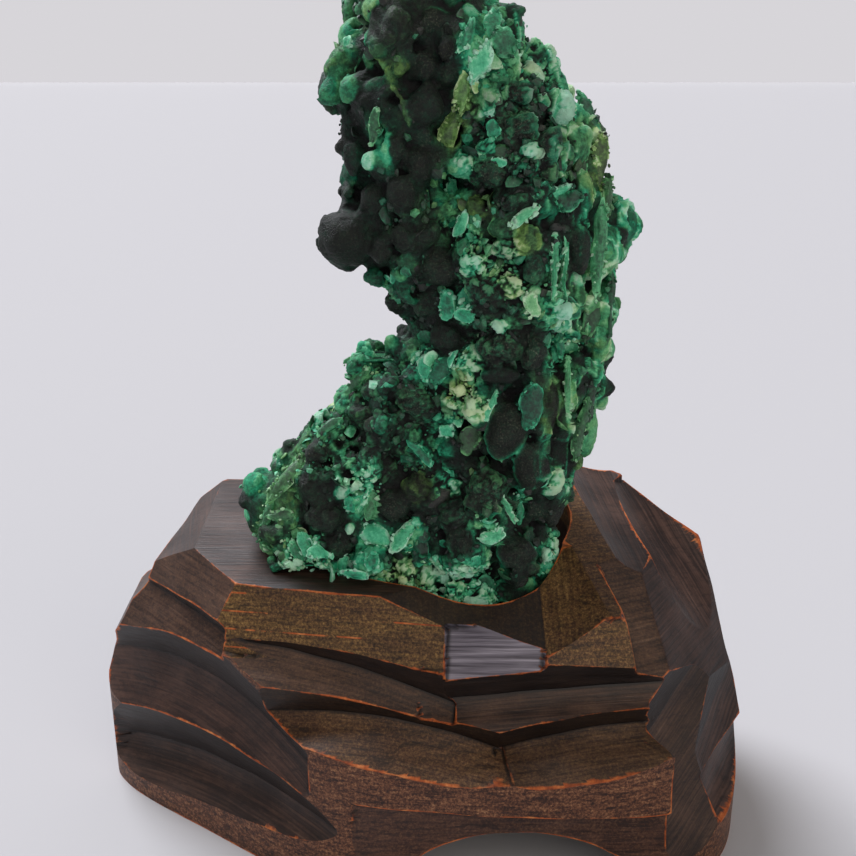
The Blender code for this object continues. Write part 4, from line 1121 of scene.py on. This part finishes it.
def add_broken_rims(crowd, leaves):
    """Chips along the rim of each leaf: at a seeded angle, on the ellipse of its half sizes, a
    little in or out."""
    chance = np.random.default_rng(8)
    for centre, wide, tall, facing, turn, mint, olive in leaves:
        n = int(5 * (wide + tall))
        angle = chance.uniform(0, 2 * math.pi, n)
        reach = chance.normal(.9, .1, n)
        across, along, out = frames_on(facing[None], np.array([-turn]))[0].T
        spots = centre + (np.cos(angle) * reach * wide)[:, None] * across \
            + (np.sin(angle) * reach * tall)[:, None] * along \
            + chance.normal(-.4, .2, n)[:, None] * out
        size = chance.uniform(.16, .5, n)[:, None]
        tones = np.clip(np.stack([
            mint + chance.normal(0, .18, n), np.full(n, olive), chance.uniform(0, .3, n)], -1), 0, 1)
        crowd.add("chip", spots, frames_on(facing + chance.normal(0, .8, (n, 3)), angle),
                  size * chance.uniform(.6, 1.2, (n, 3)), tones, np.zeros((n, 2)))


def add_spread(stone, crowd, taken):
    """What covers the rest: velvet lumps, thin flakes on edge, broken chips and beads of crust,
    each sown by how crumbly the stone is there, the larger ones first."""
    chance = np.random.default_rng(2)
    for kind, (count, low, high, spacing, tilt, crumbly, sink, squash, bend) in SOWN.items():
        places, normals = stone.sample(count, len(kind) + count)
        mint, crumb, olive, dust = zone_values(places)
        odds = crumb ** 1.3 if crumbly else 1 - .9 * crumb
        keep = np.nonzero((chance.random(count) < odds) & (clear_of_wood(places) > .5))[0]
        size = low + (high - low) * chance.random(len(keep)) ** 2
        order = np.argsort(-size + chance.normal(0, .2 * high, len(size)))
        order = order[spaced_out(places[keep[order]], size[order] * spacing,
                                 taken if kind == "lump" else ())]
        n, size, keep = len(order), size[order], keep[order]
        facing = normals[keep] + chance.normal(0, tilt, (n, 3))
        sizes = size[:, None] * np.stack([
            chance.uniform(.7, 1.1, n), chance.uniform(.8, 1.3, n), chance.uniform(*squash, n)], -1)
        depth = -size * sink - chance.uniform(0, 1.1, n) * (kind != "lump")
        centres = places[keep] + normals[keep] * depth[:, None]
        drift = chance.normal(0, .22 if kind == "lump" else .17, n)
        tones = np.clip(np.stack([
            mint[keep] * (.85 if kind == "lump" else 1) + drift + crumb[keep] * .06 * crumbly,
            olive[keep] + chance.normal(0, .2, n), dust[keep] + chance.normal(0, .2, n)], -1), 0, 1)
        bends = np.stack([size * bend * chance.uniform(0, 1.5, n), size * bend], -1)
        crowd.add(kind, centres, frames_on(facing, chance.uniform(0, 2 * math.pi, n)), sizes,
                  tones, bends)


def build_stone():
    """The stone's five pieces: the skin's two parts, the leaves, the chips and the beads."""
    stone, crowd = Stone(), Crowd()
    add_spread(stone, crowd, add_seen(stone, crowd))
    crust = malachite_crust()
    build_body(stone, crowd, malachite_skin())
    crowd.build("stone_leaves", ("leaf", "flake"), crust, 50)
    crowd.build("stone_chips", ("chip",), crust, 25)
    crowd.build("stone_beads", ("bead",), crust)


# Materials

NOISE, MATH, RAMP, MIX = (
    "ShaderNodeTexNoise", "ShaderNodeMath", "ShaderNodeValToRGB", "ShaderNodeMix")


def colour(text):
    """An sRGB hex colour as linear red, green and blue."""
    parts = [int(text[k:k + 2], 16) / 255 for k in (1, 3, 5)]
    return tuple(
        part / 12.92 if part <= 0.04045 else ((part + 0.055) / 1.055) ** 2.4
        for part in parts) + (1.0,)


def new_material(name):
    """An empty material, and the function that adds a node to it."""
    material = bpy.data.materials.new(name)
    material.use_nodes = True
    tree = material.node_tree
    tree.nodes.clear()

    def node(kind, inputs, give=0, stops=(), **settings):
        """Adds a node and gives back one of its outputs, by name or number. Inputs are values or
        other nodes' outputs, stops are a colour ramp's, and settings are its own properties."""
        made = tree.nodes.new(kind)
        for key, value in settings.items():
            setattr(made, key, value)
        for _ in stops[2:]:
            made.color_ramp.elements.new(0.5)
        for number, (place, shade) in enumerate(stops):
            stop = made.color_ramp.elements[number]
            stop.position = place
            stop.color = colour(shade) if isinstance(shade, str) else (shade,) * 3 + (1,)
        for key, value in inputs.items():
            socket = made.inputs[key]
            if isinstance(value, bpy.types.NodeSocket):
                tree.links.new(value, socket)
            else:
                socket.default_value = value
        return made.outputs[give] if made.outputs else None

    return material, node


def carved_wood():
    """Hardwood block, gouged by hand, stained nearly black and rubbed back: the eye gets a dark
    violet-brown with a soft sheen, gold-brown faces where the stain is thin, fine pores and tool
    marks, and bare orange wood along the edges. The colour also holds painted light: a violet-grey
    painted reflection on the glossiest face, and near-black painted shade on the steep gouge walls
    and in the creases."""
    material, node = new_material("hardwood_carved_stained_rubbed")
    spot = node("ShaderNodeTexCoord", {}, "Object")
    stain = node("ShaderNodeAttribute", {}, "Color", attribute_name="stain")
    stroke = node("ShaderNodeAttribute", {}, "Vector", attribute_name="stroke")
    worn, crease = (node("ShaderNodeAttribute", {}, "Fac", attribute_name=name)
                    for name in ("worn", "crease"))
    gold, red, gloss_and_painted_reflection = node("ShaderNodeSeparateColor", {"Color": stain}).node.outputs
    # The grain runs level, along the block's length: 6 times longer than it is wide. The tool marks
    # and the layers run along each stroke.
    grain_space, marks_space, layer_space = (
        node("ShaderNodeMapping", {"Vector": vector, "Scale": scale}) for vector, scale in (
            (spot, (.16, .5, 1.0)), (stroke, (.035, 1.0, 1.0)), (stroke, (.09, 1.0, 1.0))))
    # Pores are 0.7 mm, coarser than real ones so that they show. Clouds of stain are 11 mm, speckle
    # 0.45 mm, ragged borders 1.4 mm, rubbed stretches 9 mm and the bare wood's own figure 2 mm.
    # Strokes are in millimetres, and the tool marks on them are about 0.45 mm apart.
    pores, cloud, speckle, marks, rag, rub, figure = (
        node(NOISE, {"Vector": vector, "Scale": scale, "Detail": detail, "Roughness": rough})
        for vector, scale, detail, rough in (
            (grain_space, 1 / .0007, 4, .7), (spot, 1 / .011, 4, .6), (spot, 1 / .00045, 2, .8),
            (marks_space, 2.2, 3, .6), (spot, 1 / .0014, 3, .7), (spot, 1 / .009, 2, .55),
            (spot, 1 / .002, 3, .7)))

    # Stained nearly black, with gold-brown and rusty faces
    shade = node(MATH, {0: cloud, 1: .45}, operation="MULTIPLY")
    shade = node(MATH, {0: marks, 1: .55, 2: shade}, operation="MULTIPLY_ADD")
    dark = node(RAMP, {"Fac": shade}, stops=(
        (.3, "#140c09"), (.45, "#2b1c17"), (.6, "#4a342b"), (.75, "#6b5245")))
    shade = node(MATH, {0: shade, 1: .5}, operation="MULTIPLY")
    shade = node(MATH, {0: speckle, 1: .5, 2: shade}, operation="MULTIPLY_ADD")
    rich = node(RAMP, {"Fac": shade}, stops=(
        (.36, "#2a1c0f"), (.47, "#4c371b"), (.57, "#755a2e"), (.7, "#b08f50")))
    shade = node(MATH, {0: pores, 1: .4}, operation="MULTIPLY")
    shade = node(MATH, {0: speckle, 1: .6, 2: shade}, operation="MULTIPLY_ADD")
    rust = node(RAMP, {"Fac": shade}, stops=(
        (.38, "#2c1710"), (.48, "#57321f"), (.57, "#86583c"), (.68, "#b5875e")))
    open_pores = node(RAMP, {"Fac": pores}, stops=((.3, .55), (.48, 0)))

    # The glossiest face gets a painted reflection in place of its stain: violet-grey streaks along the
    # fibres.
    painted_reflection = node(RAMP, {"Fac": marks}, stops=((.3, "#4b454e"), (.5, "#77717b"), (.7, "#a39da7")))
    painted_reflection_share = node(RAMP, {"Fac": gloss_and_painted_reflection}, stops=((.85, 0), (.98, .85)))

    # Painted shade: the steep walls of the gouge strokes are coloured near-black.
    steep = node(MATH, {0: stain.node.outputs["Alpha"], 1: -.8, 2: .8}, operation="MULTIPLY_ADD")

    # The most golden face has thin orange lines, 3 mm apart, where its layers end.
    layers = node("ShaderNodeTexWave", {
        "Vector": layer_space, "Scale": .105, "Distortion": 1.2, "Detail": 2.0,
        "Detail Scale": .5}, "Fac", bands_direction="Y")
    lines = node(RAMP, {"Fac": layers}, stops=((.965, 0), (.99, .85)))
    golden = node(RAMP, {"Fac": gold}, stops=((.94, 0), (.99, 1)))
    broken = node(RAMP, {"Fac": cloud}, stops=((.45, 0), (.55, 1)))
    lines = node(MATH, {0: lines, 1: golden}, operation="MULTIPLY")
    lines = node(MATH, {0: lines, 1: broken}, operation="MULTIPLY")

    # Edges are rubbed to bare orange wood, with ragged borders. Creases get near-black painted shade.
    stretches = node(RAMP, {"Fac": rub}, stops=((.35, .45), (.6, 1)))
    rubbed = node(MATH, {0: worn, 1: stretches}, operation="MULTIPLY")
    rubbed = node(MATH, {0: rubbed, 1: lines}, operation="MAXIMUM")
    ragged = node(MATH, {0: rag, 1: .8, 2: -.4}, operation="MULTIPLY_ADD")
    bare = node(MATH, {0: rubbed, 1: ragged}, operation="ADD")
    bare = node(RAMP, {"Fac": bare}, stops=((.43, 0), (.7, 1)))
    orange = node(RAMP, {"Fac": figure}, stops=((.3, "#6d2f13"), (.5, "#ad5523"), (.75, "#d98a4e")))
    painted_crease_shade = node(RAMP, {"Fac": crease}, stops=((.1, 0), (.75, 1)))
    painted_crease_shade = node(MATH, {0: painted_crease_shade, 1: .75}, operation="MULTIPLY")

    # Each coat covers the ones before it where its share says. The painted reflection and the two
    # near-black painted shades are laid as coats too.
    body = dark
    for share, coat in (
            (gold, rich), (red, rust), (open_pores, colour("#0b0706")), (painted_reflection_share, painted_reflection),
            (steep, colour("#0c0706")), (bare, orange), (painted_crease_shade, colour("#070403"))):
        body = node(MIX, {0: share, 6: body, 7: coat}, 2, data_type="RGBA")
    rough = node(MATH, {0: marks, 1: .25, 2: .42}, operation="MULTIPLY_ADD")
    rough = node(MATH, {0: gloss_and_painted_reflection, 1: -.22, 2: rough}, operation="MULTIPLY_ADD")
    relief = node(MATH, {0: pores, 1: .5}, operation="MULTIPLY")
    relief = node(MATH, {0: marks, 1: .6, 2: relief}, operation="MULTIPLY_ADD")
    bump = node("ShaderNodeBump", {"Height": relief, "Strength": .55, "Distance": .00022})
    shader = node("ShaderNodeBsdfPrincipled", {
        "Base Color": body, "Roughness": rough, "Normal": bump, "IOR": 1.5,
        "Specular IOR Level": .35})
    node("ShaderNodeOutputMaterial", {"Surface": shader})
    return material


def stone_shades(node):
    """The colours of the stone's finishes, from each corner's tone: black-green through teal to
    pale mint by how mint it is, turned to olive, bloomed with grey dust, and with painted shade in
    the hollows, where the tone's fourth number is low. Noises of 2.2 mm, 0.55 mm and 0.28 mm break
    them up. Gives the colour and the two finer noises."""
    spot = node("ShaderNodeTexCoord", {}, "Object")
    tone = node("ShaderNodeAttribute", {}, "Color", attribute_name="tone")
    mint, olive, dust = node("ShaderNodeSeparateColor", {"Color": tone}).node.outputs
    patch, fine, speck = (
        node(NOISE, {"Vector": spot, "Scale": scale, "Detail": detail, "Roughness": rough})
        for scale, detail, rough in (
            (1 / .0022, 4, .65), (1 / .00055, 3, .7), (1 / .00028, 2, .8)))
    share = node(MATH, {0: patch, 1: .55, 2: mint}, operation="MULTIPLY_ADD")
    share = node(MATH, {0: fine, 1: .35, 2: share}, operation="MULTIPLY_ADD")
    share = node(MATH, {0: share, 1: .39}, operation="SUBTRACT")
    greens = node(RAMP, {"Fac": share}, stops=(
        (0, "#040a07"), (.12, "#081a12"), (.28, "#0c3a29"), (.46, "#137050"), (.62, "#2cab7d"),
        (.8, "#62d2a0"), (1, "#b4f0d2")))
    olives = node(RAMP, {"Fac": share}, stops=(
        (0, "#0e0f0a"), (.22, "#22291a"), (.42, "#3f5c30"), (.62, "#6f9b4e"), (.8, "#a2c678"),
        (1, "#d6ecb4")))
    grey = node(RAMP, {"Fac": speck}, stops=(
        (.4, "#0b0e0b"), (.52, "#20231b"), (.64, "#505343"), (.78, "#a5a893")))
    cover = node(MATH, {0: patch, 1: dust}, operation="MULTIPLY", use_clamp=True)
    # Painted shade: near-black where the tone's fourth number, the painted light, is low.
    hollow = node(RAMP, {"Fac": tone.node.outputs["Alpha"]}, stops=((0, .94), (.9, 0)))
    body = greens
    for share, coat in ((olive, olives), (cover, grey), (hollow, colour("#0a0809"))):
        body = node(MIX, {0: share, 6: body, 7: coat}, 2, data_type="RGBA")
    return body, fine, speck


def malachite_skin():
    """Natural botryoidal malachite, grown in fine fibres and never cut: the eye gets a
    black-green velvet with a grey bloom on the crowns of its lumps."""
    material, node = new_material("malachite_botryoidal_natural")
    body, fine, speck = stone_shades(node)
    relief = node(MATH, {0: fine, 1: .8, 2: speck}, operation="MULTIPLY_ADD")
    bump = node("ShaderNodeBump", {"Height": relief, "Strength": .85, "Distance": .0003})
    rough = node(MATH, {0: fine, 1: .35, 2: .42}, operation="MULTIPLY_ADD")
    shader = node("ShaderNodeBsdfPrincipled", {
        "Base Color": body, "Roughness": rough, "Normal": bump, "IOR": 1.65,
        "Specular IOR Level": .22})
    node("ShaderNodeOutputMaterial", {"Surface": shader})
    return material


def malachite_crust():
    """Broken and crumbly malachite, fractured by hand and by time: the eye gets fresh, matt faces
    and grains of bright green with pale edges."""
    material, node = new_material("malachite_crust_broken")
    body, fine, speck = stone_shades(node)
    relief = node(MATH, {0: speck, 1: .6, 2: fine}, operation="MULTIPLY_ADD")
    bump = node("ShaderNodeBump", {"Height": relief, "Strength": .7, "Distance": .00022})
    shader = node("ShaderNodeBsdfPrincipled", {
        "Base Color": body, "Roughness": .5, "Normal": bump, "IOR": 1.65,
        "Specular IOR Level": .4})
    node("ShaderNodeOutputMaterial", {"Surface": shader})
    return material


def plain_studio(name, shade, glow="#000000"):
    """Seamless painted board, or a white screen lit from behind: pale, even and matt."""
    material, node = new_material(name)
    shader = node("ShaderNodeBsdfPrincipled", {
        "Base Color": colour(shade), "Roughness": .9, "Specular IOR Level": .3,
        "Emission Color": colour(glow), "Emission Strength": 1.0})
    node("ShaderNodeOutputMaterial", {"Surface": shader})
    return material


def build_studio():
    """A pale floor that runs to a far screen of the same tone, under two wide soft lights: the
    stronger from behind on the left, the weaker from in front on the right. The screen throws no
    shadow, so that it leaves no dark line where it meets the floor."""
    far, near = 60000.0, -3000.0
    sheets = (
        ("studio_floor", [(-far, near, 0), (far, near, 0), (far, far, 0), (-far, far, 0)],
         plain_studio("board_painted_matt", "#bab9bb")),
        ("studio_wall", [(-far, far, 0), (far, far, 0), (far, far, far), (-far, far, far)],
         plain_studio("screen_lit_from_behind", "#000000", glow="#d6d4d8")))
    for name, corners, material in sheets:
        sheet = make_mesh(name, np.array(corners), np.array([(0, 1, 2, 3)]))
        sheet.data.materials.append(material)
        sheet.visible_shadow = name != "studio_wall"
    for name, towards, power, spread, shade in (
            ("soft_light_behind", (.5, -.5, -1.0), 3.7, 32, "#f6f8ff"),
            ("soft_light_in_front", (-.5, 1.0, -.8), .9, 60, "#fff6ea")):
        light = bpy.data.lights.new(name, "SUN")
        light.energy, light.angle, light.color = power, math.radians(spread), colour(shade)[:3]
        made = bpy.data.objects.new(name, light)
        made.rotation_euler = Vector(towards).to_track_quat("-Z", "Y").to_euler()
        bpy.context.scene.collection.objects.link(made)
    world = bpy.data.worlds.new("studio_air")
    world.use_nodes = True
    background = world.node_tree.nodes["Background"]
    background.inputs["Color"].default_value = colour("#d6d4d8")
    background.inputs["Strength"].default_value = .4
    bpy.context.scene.world = world


def build_camera():
    """The camera at the photograph's viewpoint, turned down by the pitch. Its lens gives the
    photograph's focal length in pixels."""
    data = bpy.data.cameras.new("photo_view")
    data.sensor_width, data.clip_start = SENSOR, .01
    data.lens = FOCAL * SENSOR / PHOTO_WIDTH
    made = bpy.data.objects.new("photo_view", data)
    made.location = EYE * MM
    made.rotation_euler = (math.pi / 2 - PITCH, 0, 0)
    bpy.context.scene.collection.objects.link(made)
    bpy.context.scene.camera = made


build_studio()
build_camera()
build_stand()
build_stone()
bpy.context.scene.view_settings.view_transform = "Standard"
